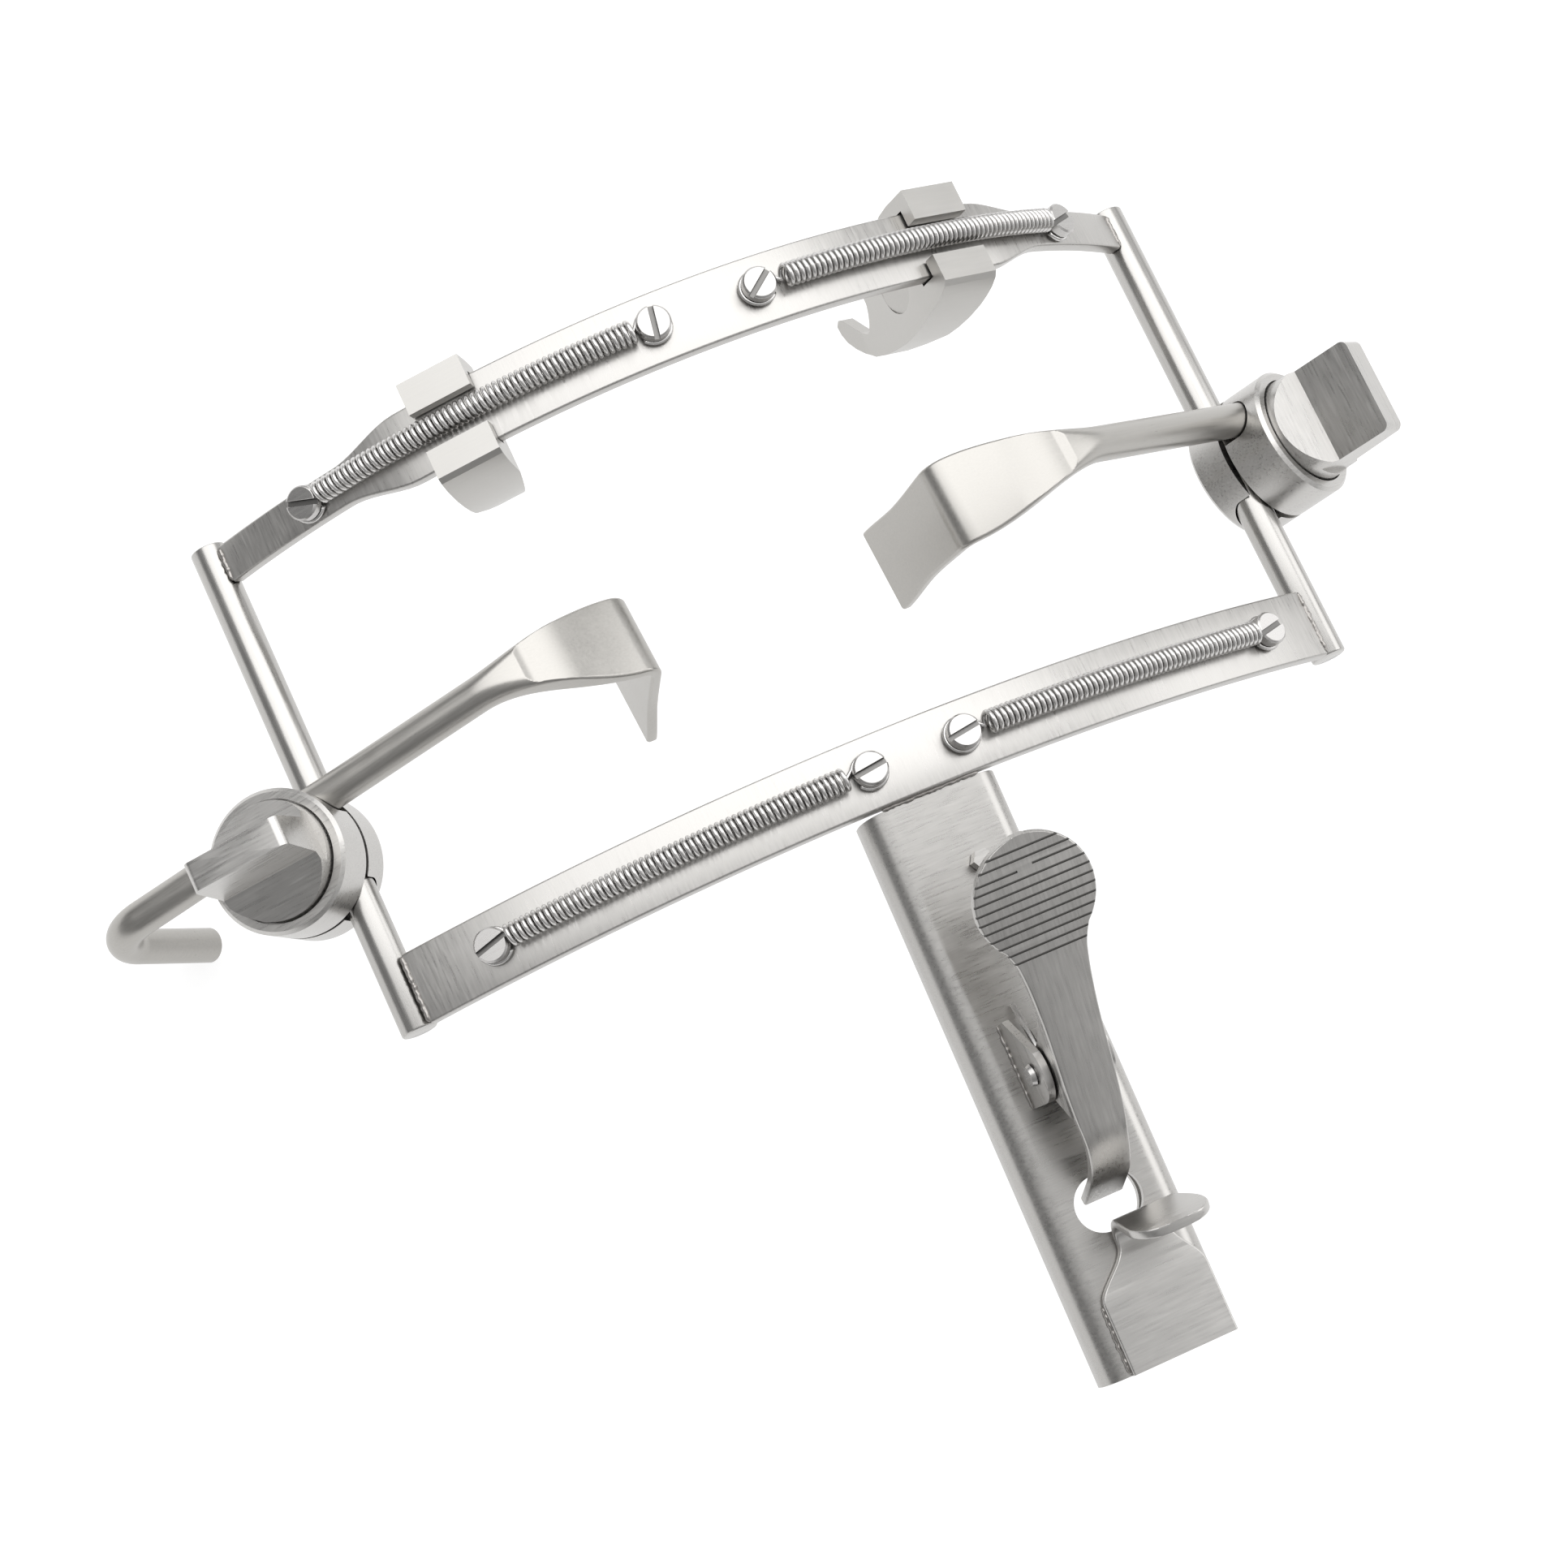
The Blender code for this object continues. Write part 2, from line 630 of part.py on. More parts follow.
BARS = (("upper", UPPER_ARC, UPPER_RADIUS, UPPER_SCREWS), ("lower", LOWER_ARC, LOWER_RADIUS, LOWER_SCREWS))
SCREW_PLACES = ("left_outer", "left_inner", "right_inner", "right_outer")
for bar_number, (level, arc, radius, screws) in enumerate(BARS):
    for number, (where, across) in enumerate(zip(SCREW_PLACES, screws)):
        make_screw(f"{level}_{where}_screw", arc, radius, across, SCREW_SLOT_TURNS[4 * bar_number + number])
    make_spring(f"{level}_left_spring", arc, radius, screws[0], screws[1])
    make_spring(f"{level}_right_spring", arc, radius, screws[2], screws[3])


# Tooth hooks
def arc_points(centre, radius, start, end, count):
    """Points on a circle, angles in degrees."""
    angles = [math.radians(start + (end - start) * step / count) for step in range(count + 1)]
    return [(centre[0] + radius * math.cos(a), centre[1] + radius * math.sin(a)) for a in angles]


def in_mm(points):
    return [(x * MM, y * MM) for x, y in points]


def hook_outline():
    """The side view of a tooth hook: x is the distance in front of the bar, y is up the frame."""
    half = BAR_WIDTH / 2 + RUNNING_GAP
    front = TOUCH_GAP
    back = -BAR_THICKNESS - TOUCH_GAP
    lip_half = HOOK_LIP_GAP / 2
    top = BAR_WIDTH / 2 + HOOK_TOP_HEIGHT
    shoulder = TOUCH_GAP
    outline = [(HOOK_LIP, HOOK_FOOT * MM)] + in_mm(HOOK_UNDERSIDE + HOOK_CLAW + HOOK_HEEL)
    outline += [(back - HOOK_BACK, top - shoulder), (back + shoulder, top), (HOOK_LIP, top)]
    outline += [(HOOK_LIP, lip_half), (front, lip_half), (front, half), (back, half)]
    return outline + [(back, -half), (front, -half), (front, -lip_half), (HOOK_LIP, -lip_half)]


def make_tooth_hook(name, side):
    """A hook that slides along the upper bar. It narrows with depth to its claw."""
    carrier = frame_at(name + "_carrier", UPPER_ARC, (0, 0, 0), (0, side * HOOK_ANGLE, 0))
    half = HOOK_WIDTH / 2
    far = 3 * HOOK_DEPTH
    on_bar = {"location": (0, 0, UPPER_RADIUS)}
    hook = plate(name, [hook_outline()], -half, half, carrier, SATIN, turn=(0, -90, 0), **on_bar)
    inner_end = half - HOOK_INNER_SLOPE * (HOOK_DEPTH - HOOK_SLOPE_START)
    inner_cut = [(-side * (half + TOUCH_GAP), -HOOK_SLOPE_START), (-side * inner_end, -HOOK_DEPTH),
                 (-side * inner_end, -far), (-side * far, -far), (-side * far, -HOOK_SLOPE_START)]
    outer_end = CLAW_WIDTH - inner_end
    outer_cut = [(side * (half + TOUCH_GAP), -HOOK_DEPTH / 2), (side * outer_end, -HOOK_DEPTH),
                 (side * outer_end, -far), (side * far, -far), (side * far, -HOOK_DEPTH / 2)]
    for label, outline in (("inner", inner_cut), ("outer", outer_cut)):
        cut(hook, plate(f"{name}_{label}_cut", [outline], -far, far, carrier, turn=(90, 0, 0), **on_bar))

    depth, height = HOOK_DISH_AT
    surface = half - HOOK_INNER_SLOPE * (-depth - HOOK_SLOPE_START)
    cut(hook, round_bar(
        name + "_dish", HOOK_DISH_RADIUS, surface - HOOK_DISH_DEPTH, far, carrier, 24,
        location=(0, height, UPPER_RADIUS + depth), turn=(0, -90 * side, 0),
    ))
    chamfer(hook, HOOK_CHAMFER, 1, 40)


make_tooth_hook("left_tooth_hook", -1)
make_tooth_hook("right_tooth_hook", 1)


# Rod clamps, wing knobs and cheek retractors
def make_clamp(label, side, clamp_y, clamp_turn, slope, out, spin, hook_turn, wing_turn):
    """One clamp: two jaws on a bolt, the knob that closes them, and the retractor that they hold."""
    turn = math.radians(clamp_turn)
    bolt_out = side * BOLT_TO_ROD
    bolt_at = (side * ROD_SPACING / 2 + bolt_out * math.cos(turn), clamp_y, -bolt_out * math.sin(turn))
    clamp = frame_at(f"{label}_clamp_bolt_axis", GAG, bolt_at, (0, clamp_turn, 0))
    jaw = frame_at(f"{label}_front_jaw_frame", clamp, (0, 0, 0), (0, 0, slope))
    head_seat = BACK_JAW_REAR + BOLT_HEAD_HEIGHT + TOUCH_GAP
    hole_radius = BOLT_RADIUS + RUNNING_GAP

    back = turned(f"{label}_back_jaw", [
        (0, BACK_JAW_REAR), (JAW_RADIUS - JAW_CHAMFER, BACK_JAW_REAR),
        (JAW_RADIUS, BACK_JAW_REAR + JAW_CHAMFER), (JAW_RADIUS, BACK_JAW_FRONT), (0, BACK_JAW_FRONT)],
        clamp, 32, SATIN)
    rod_groove = ROD_RADIUS + RUNNING_GAP
    far = 2 * JAW_RADIUS
    groove = [(-rod_groove, far)] + arc_points((0, 0), rod_groove, 180, 360, 16) + [(rod_groove, far)]
    cut(back, plate(f"{label}_rod_groove", [groove], -far, far, clamp, location=(-bolt_out, 0, 0),
                    turn=(90, 0, 0)))
    cut(back, round_bar(f"{label}_back_bolt_hole", hole_radius, -far, far, clamp, 24))
    seat_radius = BOLT_HEAD_RADIUS + RUNNING_GAP
    cut(back, round_bar(f"{label}_bolt_head_seat", seat_radius, -far, head_seat, clamp, 24))

    thread_top = KNOB_REAR + KNOB_THREAD_DEPTH
    turned(f"{label}_clamp_bolt", [
        (0, BACK_JAW_REAR), (BOLT_HEAD_RADIUS, BACK_JAW_REAR), (BOLT_HEAD_RADIUS, head_seat - TOUCH_GAP),
        (BOLT_RADIUS, head_seat - TOUCH_GAP), (BOLT_RADIUS, thread_top - 2 * TOUCH_GAP),
        (BOLT_RADIUS - TOUCH_GAP, thread_top - TOUCH_GAP), (0, thread_top - TOUCH_GAP)], clamp, 24, BRIGHT)

    front = turned(f"{label}_front_jaw", [
        (0, FRONT_JAW_REAR), (JAW_RADIUS, FRONT_JAW_REAR), (JAW_RADIUS, FRONT_JAW_FRONT - JAW_CHAMFER),
        (JAW_RADIUS - JAW_CHAMFER, FRONT_JAW_FRONT), (KNOB_RADIUS + TOUCH_GAP, FRONT_JAW_FRONT),
        (KNOB_RADIUS + TOUCH_GAP, FRONT_JAW_FRONT - RECESS_DEPTH), (0, FRONT_JAW_FRONT - RECESS_DEPTH)],
        jaw, 32, SATIN)
    grip = RETRACTOR_RADIUS + RUNNING_GAP
    channel = arc_points((0, RETRACTOR_HEIGHT), grip, 0, 180, 16) + [(-grip, -far), (grip, -far)]
    cut(front, plate(f"{label}_retractor_groove", [channel], -far, far, jaw,
                     location=(0, BOLT_TO_RETRACTOR, 0), turn=(90, 0, 90)))
    cut(front, round_bar(f"{label}_front_bolt_hole", hole_radius, 0, far, jaw, 24))

    make_wing_knob(f"{label}_wing_knob", clamp, wing_turn)
    make_retractor(f"{label}_cheek_retractor", jaw, side, out, spin, hook_turn)


def make_wing_knob(name, clamp, wing_turn):
    """A disc with a wing: the turned blank is milled down on both sides and at the wing's ends."""
    far = 3 * KNOB_RADIUS
    edge = 0.4 * MM
    rim_top = KNOB_REAR + KNOB_RIM
    ridge = rim_top + KNOB_RIDGE_RISE
    wing_top = KNOB_REAR + WING_TOP_RISE
    blank = [(0, KNOB_REAR), (KNOB_RADIUS - edge, KNOB_REAR), (KNOB_RADIUS, KNOB_REAR + edge),
             (KNOB_RADIUS, wing_top), (0, wing_top)]
    knob = turned(name, blank, clamp, 32, SATIN, turn=(0, 0, wing_turn))
    frame = frame_at(name + "_frame", clamp, (0, 0, 0), (0, 0, wing_turn))
    for label, hand in (("left", -1), ("right", 1)):
        flank = [(far, rim_top), (KNOB_RADIUS, rim_top), (WING_HALF_ROOT, ridge), (WING_HALF_TOP, wing_top),
                 (WING_HALF_TOP, wing_top + far), (far, wing_top + far)]
        flank = [(hand * x, y) for x, y in flank]
        cut(knob, plate(f"{name}_{label}_flank", [flank], -far, far, frame, turn=(90, 0, 90)))
        near, end = sorted((hand * WING_LENGTH / 2, hand * far))
        foot = rim_top + WING_FOOT
        cut(knob, block(f"{name}_{label}_end", (near, -far, foot), (end, far, wing_top + far), frame))
    thread_end = KNOB_REAR + KNOB_THREAD_DEPTH
    cut(knob, round_bar(name + "_thread", BOLT_RADIUS + RUNNING_GAP, -far, thread_end, clamp, 24))
    chamfer(knob, 0.3 * MM, 1, 30)


def make_retractor(name, jaw, side, out, spin, hook_degrees):
    """A round rod, hooked at its outer end and flattened at its inner end into a flared, twice-bent blade."""
    on_jaw = (0, BOLT_TO_RETRACTOR, RETRACTOR_HEIGHT)
    facing = frame_at(name + "_rod_axis", jaw, on_jaw, (0, 0, 90 + 90 * side))
    hook_turn = math.radians(hook_degrees)
    bend = math.radians(RETRACTOR_TURN)
    blade_turn = math.radians(BLADE_TURN)
    runs = [
        (RETRACTOR_HOOK_ARM, 0), (RETRACTOR_HOOK_BEND * hook_turn, hook_turn), (RETRACTOR_STRAIGHT, 0),
        (RETRACTOR_BEND * bend, bend), (BLADE_RUN, 0), (BLADE_BEND * blade_turn, blade_turn),
        (BLADE_TIP, 0),
    ]
    arm_end, hook_end, flare, bend_end, turn_start, turn_end, tip = [
        sum(length for length, _ in runs[:count + 1]) for count in range(len(runs))]
    first = -out - RETRACTOR_HOOK_BEND * math.sin(hook_turn) - RETRACTOR_HOOK_ARM * math.cos(hook_turn)
    second = RETRACTOR_HOOK_BEND * (1 - math.cos(hook_turn)) + RETRACTOR_HOOK_ARM * math.sin(hook_turn)
    line = bent_line((first, second), -hook_turn, runs)
    full = RETRACTOR_RADIUS
    thin = BLADE_THICKNESS / 2
    widths = [(flare, full), (turn_start, BLADE_HALF_WIDTH), (turn_end + BLADE_TIP / 2, BLADE_WAIST),
              (tip, BLADE_HALF_WIDTH)]
    thins = [(flare, full), (turn_start, thin)]
    faces = [(flare, full), (flare + FACE_RUN, FACE_START), (turn_start, thin)]
    corners = [(flare, full), (bend_end, BLADE_EDGE)]

    def section(distance):
        if distance < ROD_END_ROUND:
            return full - ROD_END_ROUND, full - ROD_END_ROUND, full - ROD_END_ROUND, 0, full
        half = ease(distance, thins)
        return ease(distance, widths), half, min(half, ease(distance, corners)), 0, ease(distance, faces)

    stops = spread(0, (ROD_END_ROUND, 1), (arm_end, 1), (hook_end, 9), (flare, 1), (flare + FACE_RUN, 3),
                   (bend_end, 7), (turn_start, 4), (turn_end, 5), (tip, 5))
    loft(name, line, stops, section, ACROSS, -OUT, facing, 3, SATIN, turn=(spin, 0, 0))


make_clamp("left", -1, LEFT_CLAMP_Y, LEFT_CLAMP_TURN, LEFT_RETRACTOR_SLOPE, LEFT_RETRACTOR_OUT,
           LEFT_RETRACTOR_SPIN, LEFT_HOOK_TURN, 0)
make_clamp("right", 1, RIGHT_CLAMP_Y, RIGHT_CLAMP_TURN, RIGHT_RETRACTOR_SLOPE, RIGHT_RETRACTOR_OUT,
           RIGHT_RETRACTOR_SPIN, RIGHT_HOOK_TURN, 90)


# Handle tube
def rounded_outline(width, height, corner, centre=(0, 0), count=6):
    """A rectangle with round corners, drawn as points."""
    points = []
    for quarter, (x_side, y_side) in enumerate(((1, 1), (-1, 1), (-1, -1), (1, -1))):
        middle = (centre[0] + x_side * (width / 2 - corner), centre[1] + y_side * (height / 2 - corner))
        points += arc_points(middle, corner, 90 * quarter, 90 * quarter + 90, count)
    return points


def make_handle():
    """The rectangular channel that a tongue blade's shank slides in, open at its lower end."""
    middle = (0, -HANDLE_DEPTH / 2)
    inner_corner = HANDLE_CORNER - HANDLE_WALL
    outer = rounded_outline(HANDLE_WIDTH, HANDLE_DEPTH, HANDLE_CORNER, middle)
    inner_size = (HANDLE_WIDTH - 2 * HANDLE_WALL, HANDLE_DEPTH - 2 * HANDLE_WALL)
    inner = rounded_outline(*inner_size, inner_corner, middle)
    above = 3 * MM
    tube = plate("handle_tube", [outer, inner], -above, HANDLE_LENGTH, HANDLE, SATIN, turn=(90, 0, 0))
    far = 2 * HANDLE_WIDTH
    top = BAR_UNDERSIDE_Y - TOUCH_GAP
    cut(tube, block("handle_top_cut", (HANDLE_X - far, top, HANDLE_FRONT_Z - far),
                    (HANDLE_X + far, top + far, HANDLE_FRONT_Z + far), GAG))
    front_hole = rounded_outline(CATCH_HOLE_WIDTH, CATCH_HOLE_LENGTH, CATCH_HOLE_LENGTH / 2 - 0.01 * MM)
    back_hole = rounded_outline(BACK_HOLE_WIDTH, BACK_HOLE_LENGTH, BACK_HOLE_LENGTH / 2 - 0.01 * MM)
    at = {"location": (0, -CATCH_HOLE_DOWN, 0)}
    cut(tube, plate("catch_hole", [front_hole], -HANDLE_DEPTH / 2, HANDLE_DEPTH, HANDLE, **at))
    cut(tube, plate("back_hole", [back_hole], -2 * HANDLE_DEPTH, -HANDLE_DEPTH / 2, HANDLE, **at))
    cut(tube, round_bar("stop_screw_hole", STOP_RADIUS + RUNNING_GAP, -2 * HANDLE_WALL, HANDLE_WALL, HANDLE,
                        16, location=(STOP_X, -STOP_DOWN, 0)))
    shade_smooth(tube, 25)


def make_end_tab():
    """A plate along the handle's front at its open end, narrowed to a neck and bent out into a finger tab."""
    turn = math.radians(TAB_TURN)
    middle = TOUCH_GAP + TAB_THICKNESS / 2
    bend = (TAB_BEND + TAB_THICKNESS / 2) * turn
    bend_end = TAB_NECK_RUN + bend
    end = bend_end + TAB_REACH
    round_start = end - TAB_END_ROUND
    line = bent_line((-HANDLE_LENGTH, -middle), 0, [(TAB_NECK_RUN, 0), (bend, -turn), (TAB_REACH, 0)])
    half_end = TAB_END_WIDTH / 2
    flared = bend_end + TAB_REACH / 2
    widths = [(TAB_FOOT_RUN, TAB_FOOT_WIDTH / 2), (TAB_NECK_RUN, TAB_NECK_WIDTH / 2), (flared, half_end)]
    shifts = [(TAB_FOOT_RUN, TAB_FOOT_SHIFT), (TAB_NECK_RUN, TAB_NECK_SHIFT), (flared, TAB_END_SHIFT)]

    def section(distance):
        past = max(0, distance - round_start) / TAB_END_ROUND
        rounding = TAB_END_ROUND * (1 - math.sqrt(max(0, 1 - past * past)))
        return (ease(distance, widths) - rounding, TAB_THICKNESS / 2, SHEET_EDGE, -ease(distance, shifts),
                TAB_THICKNESS)

    stops = spread(0, (TAB_FOOT_RUN, 2), (TAB_NECK_RUN, 6), (bend_end, 7), (round_start, 4), (end, 5))
    loft("end_tab_plate", line, stops, section, UP, -OUT, HANDLE, 2, SATIN)


make_handle()
make_end_tab()


# Catch lever, its pin, ears and spring
def make_lever():
    """A thumb pad, a strip on two cheeks at the pin, and a tip that drops through the handle's hole."""
    turn = math.radians(CATCH_TURN)
    half = LEVER_THICKNESS / 2
    straight = PAD_END - CATCH_BEND_AT
    bend = CATCH_BEND * turn
    line = bent_line((-PAD_END, -LEVER_RISE), 0, [(straight, 0), (bend, turn), (CATCH_TIP, 0)])
    shoulder = PAD_SHOULDER
    shoulder_width = math.sqrt(PAD_RADIUS ** 2 - shoulder ** 2)
    waist = PAD_END - WAIST_AT
    widths = [(PAD_RADIUS + shoulder, shoulder_width), (waist, WAIST_WIDTH / 2),
              (PAD_END - 10 * MM, CHEEK_WIDTH / 2), (PAD_END + 6 * MM, CHEEK_WIDTH / 2),
              (PAD_END + 10 * MM, STRIP_WIDTH / 2)]

    def section(distance):
        off = distance - PAD_RADIUS
        if off < shoulder:
            return math.sqrt(max(PAD_RADIUS ** 2 - off ** 2, PAD_END_HALF ** 2)), half, SHEET_EDGE, 0, half
        return ease(distance, widths), half, SHEET_EDGE, 0, half

    stops = spread(0, (0.3 * MM, 1), (1.2 * MM, 1), (4 * MM, 3), (PAD_RADIUS + shoulder, 8),
                   (waist, 3), (PAD_END - 10 * MM, 4), (PAD_END + 6 * MM, 1), (straight, 1),
                   (straight + bend, 6), (straight + bend + CATCH_TIP, 1))
    lever = loft("catch_lever", line, stops, section, -UP, -OUT, LEVER, 2, DULL)

    under = LEVER_RISE - half
    sunk = under + 0.4 * MM
    cheek = [(-CHEEK_HEEL, sunk)] + arc_points((0, 0), CHEEK_LOBE, *CHEEK_LOBE_ARC, 10)
    cheek += [CHEEK_THROAT, (CHEEK_SHOULDER, under - CHEEK_SHOULDER_DROP), (CHEEK_TOE, sunk)]
    for label, hand in (("left", -1), ("right", 1)):
        low, high = sorted((hand * CHEEK_WIDTH / 2, hand * (CHEEK_WIDTH / 2 - CHEEK_THICKNESS)))
        join(lever, plate(f"lever_{label}_cheek", [cheek], low, high, LEVER, turn=(90, 0, 90)))
    cut(lever, round_bar("lever_pin_hole", PIN_RADIUS + RUNNING_GAP, -CHEEK_WIDTH, CHEEK_WIDTH, LEVER, 16,
                         turn=(0, 90, 0)))
    top = LEVER_RISE + half
    for number in range(PAD_GROOVES):
        at = PAD_END - 1.2 * MM - (number + 0.5) * PAD_GROOVE_PITCH
        cut(lever, block(
            f"pad_groove_{number + 1}", (-2 * PAD_RADIUS, at - PAD_GROOVE_WIDTH / 2, top - PAD_GROOVE_DEPTH),
            (2 * PAD_RADIUS, at + PAD_GROOVE_WIDTH / 2, top + PAD_GROOVE_DEPTH), LEVER))


def make_ear(name, hand):
    """One of the two ears on the handle that hold the lever's pin."""
    base = TOUCH_GAP - PIN_HEIGHT
    outline = [(-EAR_ROUND, base), (EAR_TOE, base), (EAR_TOE + EAR_TOE_LEAN, base + EAR_TOE_HEIGHT)]
    outline += arc_points((0, 0), EAR_ROUND, *EAR_ARC, 9)
    low, high = sorted((hand * EAR_GAP / 2, hand * (EAR_GAP / 2 + EAR_THICKNESS)))
    on_pin = {"location": (LEVER_X, -PIN_DOWN, PIN_HEIGHT)}
    ear = plate(name, [outline], low, high, HANDLE, SATIN, turn=(90, 0, 90), **on_pin)
    cut(ear, round_bar(name + "_hole", PIN_RADIUS + RUNNING_GAP, -EAR_GAP, EAR_GAP, HANDLE, 16,
                       turn=(0, 90, 0), **on_pin))
    chamfer(ear, 0.2 * MM, 1, 40)


def make_pin():
    """The lever's pin, with a low head outside each ear."""
    reach = EAR_GAP / 2 + EAR_THICKNESS + TOUCH_GAP
    head = 0.7 * MM
    edge = PIN_HEAD_RADIUS - 0.3 * MM
    turned("lever_pin", [
        (0, -reach - head), (edge, -reach - head), (PIN_HEAD_RADIUS, -reach), (PIN_RADIUS, -reach),
        (PIN_RADIUS, reach), (PIN_HEAD_RADIUS, reach), (edge, reach + head), (0, reach + head)],
        HANDLE, 16, BRIGHT, location=(LEVER_X, -PIN_DOWN, PIN_HEIGHT), turn=(0, 90, 0))


def make_lever_spring():
    """A torsion spring round the pin: one leg on the handle, the other under the strip."""
    room = CHEEK_WIDTH / 2 - CHEEK_THICKNESS - TOUCH_GAP - LEVER_SPRING_WIRE
    steps = 10
    total = LEVER_SPRING_TURNS * steps + steps // 2
    tilt = math.radians(LEVER_TILT)
    rest = TOUCH_GAP + LEVER_SPRING_WIRE
    points = [(-room, 11.5 * MM, rest - PIN_HEIGHT)]
    for step in range(total + 1):
        turn = 2 * math.pi * step / steps
        points.append((-room + 2 * room * step / total, LEVER_SPRING_RADIUS * math.sin(turn),
                       -LEVER_SPRING_RADIUS * math.cos(turn)))
    push = LEVER_RISE - LEVER_THICKNESS / 2 - TOUCH_GAP - LEVER_SPRING_WIRE
    along = 11.0 * MM
    points.append((room, along * math.cos(tilt) - push * math.sin(tilt),
                   along * math.sin(tilt) + push * math.cos(tilt)))
    spring = wire("lever_spring", points, LEVER_SPRING_WIRE, HANDLE, 1, DULL,
                  location=(LEVER_X, -PIN_DOWN, PIN_HEIGHT))
    shade_smooth(spring, 100)


def make_stop_screw():
    """A hexagon-head screw whose end stands in the channel."""
    at = {"location": (STOP_X, -STOP_DOWN, 0)}
    under = TOUCH_GAP + STOP_HEAD_HEIGHT / 2
    end = -HANDLE_WALL - STOP_REACH
    shank = [(0, end), (STOP_RADIUS, end), (STOP_RADIUS, under), (0, under)]
    screw = turned("stop_screw", shank, HANDLE, 16, SATIN, **at)
    head = [(0, TOUCH_GAP), (STOP_HEAD_RADIUS, TOUCH_GAP), (STOP_HEAD_RADIUS, TOUCH_GAP + STOP_HEAD_HEIGHT),
            (0, TOUCH_GAP + STOP_HEAD_HEIGHT)]
    join(screw, turned("stop_screw_head", head, HANDLE, 6, **at))


make_lever()
make_ear("left_lever_ear", -1)
make_ear("right_lever_ear", 1)
make_pin()
make_lever_spring()
make_stop_screw()
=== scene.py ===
"""The looks of the mouth gag: every steel piece is modelled finely over its CAD node, with brushed,
turned and drawn finishes, close-wound springs and weld seams, on a pale studio floor."""

import json
from math import asin, atan2, cos, degrees, hypot, pi, radians, sin, sqrt

import bmesh
import bpy
from mathutils import Matrix, Vector, noise

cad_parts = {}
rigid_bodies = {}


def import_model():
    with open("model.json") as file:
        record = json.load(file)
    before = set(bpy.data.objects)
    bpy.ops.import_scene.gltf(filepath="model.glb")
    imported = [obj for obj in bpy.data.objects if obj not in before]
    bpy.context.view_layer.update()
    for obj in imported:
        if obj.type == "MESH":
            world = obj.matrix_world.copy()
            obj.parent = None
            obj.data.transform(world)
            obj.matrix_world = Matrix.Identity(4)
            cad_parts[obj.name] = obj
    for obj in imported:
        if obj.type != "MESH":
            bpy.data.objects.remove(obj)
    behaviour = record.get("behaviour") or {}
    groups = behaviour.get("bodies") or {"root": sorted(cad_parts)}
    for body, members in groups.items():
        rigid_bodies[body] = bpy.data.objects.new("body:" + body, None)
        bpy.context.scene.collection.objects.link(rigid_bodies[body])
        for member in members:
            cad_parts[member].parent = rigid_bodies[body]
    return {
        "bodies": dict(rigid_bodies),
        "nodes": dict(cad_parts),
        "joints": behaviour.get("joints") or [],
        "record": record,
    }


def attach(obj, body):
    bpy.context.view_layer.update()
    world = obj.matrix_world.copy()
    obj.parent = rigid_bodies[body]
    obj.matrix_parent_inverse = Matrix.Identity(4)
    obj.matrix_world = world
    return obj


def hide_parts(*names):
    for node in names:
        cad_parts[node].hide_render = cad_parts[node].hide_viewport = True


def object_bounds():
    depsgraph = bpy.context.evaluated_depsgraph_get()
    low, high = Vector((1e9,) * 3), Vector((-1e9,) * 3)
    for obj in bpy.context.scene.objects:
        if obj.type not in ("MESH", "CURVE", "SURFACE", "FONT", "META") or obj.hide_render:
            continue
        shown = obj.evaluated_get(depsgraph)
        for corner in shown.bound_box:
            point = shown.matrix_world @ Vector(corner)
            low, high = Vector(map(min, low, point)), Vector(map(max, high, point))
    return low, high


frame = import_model()
CAD_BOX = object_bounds()
BODY_OF = {node: group for group, nodes in frame["record"]["behaviour"]["bodies"].items() for node in nodes}

MM = 0.001
UP, ACROSS, OUT = Vector((0, 1, 0)), Vector((1, 0, 0)), Vector((0, 0, 1))

# Clearances
TOUCH_GAP = 0.3 * MM
RUNNING_GAP = 0.25 * MM

# Side rods
ROD_SPACING = 166 * MM
ROD_RADIUS = 3.0 * MM
ROD_LENGTH = 87.3 * MM
ROD_CHAMFER = 0.35 * MM

# Arched bars: the height is the front of the middle above the plane of the side rods
BAR_WIDTH = 12 * MM
BAR_THICKNESS = 2.5 * MM
BAR_EDGE = 0.45 * MM
BAR_END_LAP = 0.4 * MM
BAR_END_SPAN = ROD_SPACING - 2 * (ROD_RADIUS - BAR_END_LAP)
BAR_END_HEIGHT = 4.55 * MM
UPPER_BAR_Y = 39.3 * MM
UPPER_BAR_HEIGHT = 38.0 * MM
LOWER_BAR_Y = -37.8 * MM
LOWER_BAR_HEIGHT = 25.5 * MM
NECK_WIDTH = 6.6 * MM
NECK_START = 52.5 * MM
NECK_RUN = 13 * MM

# Spring screws, by their distance across the frame
UPPER_SCREWS = (-67.2 * MM, -9.5 * MM, 8.6 * MM, 66.6 * MM)
LOWER_SCREWS = (-68.2 * MM, -5.5 * MM, 10.8 * MM, 69.9 * MM)
SCREW_SHANK_RADIUS = 1.5 * MM
SCREW_HEAD_RADIUS = 2.85 * MM
SCREW_HEAD_HEIGHT = 1.7 * MM
SCREW_SLOT_WIDTH = 0.9 * MM
SCREW_SLOT_DEPTH = 0.8 * MM
SCREW_SLOT_TURNS = (157, 79, 38, 18, 12, 7, 9, 14)

# Suture springs
SPRING_WIRE = 0.42 * MM
SPRING_OUTER_RADIUS = 2.05 * MM
SPRING_PITCH = 0.97 * MM
SPRING_TURN_POINTS = 20
SPRING_EYE_RADIUS = 2.75 * MM
EYE_START, EYE_STEP, EYE_POINTS = 325, 11, 28

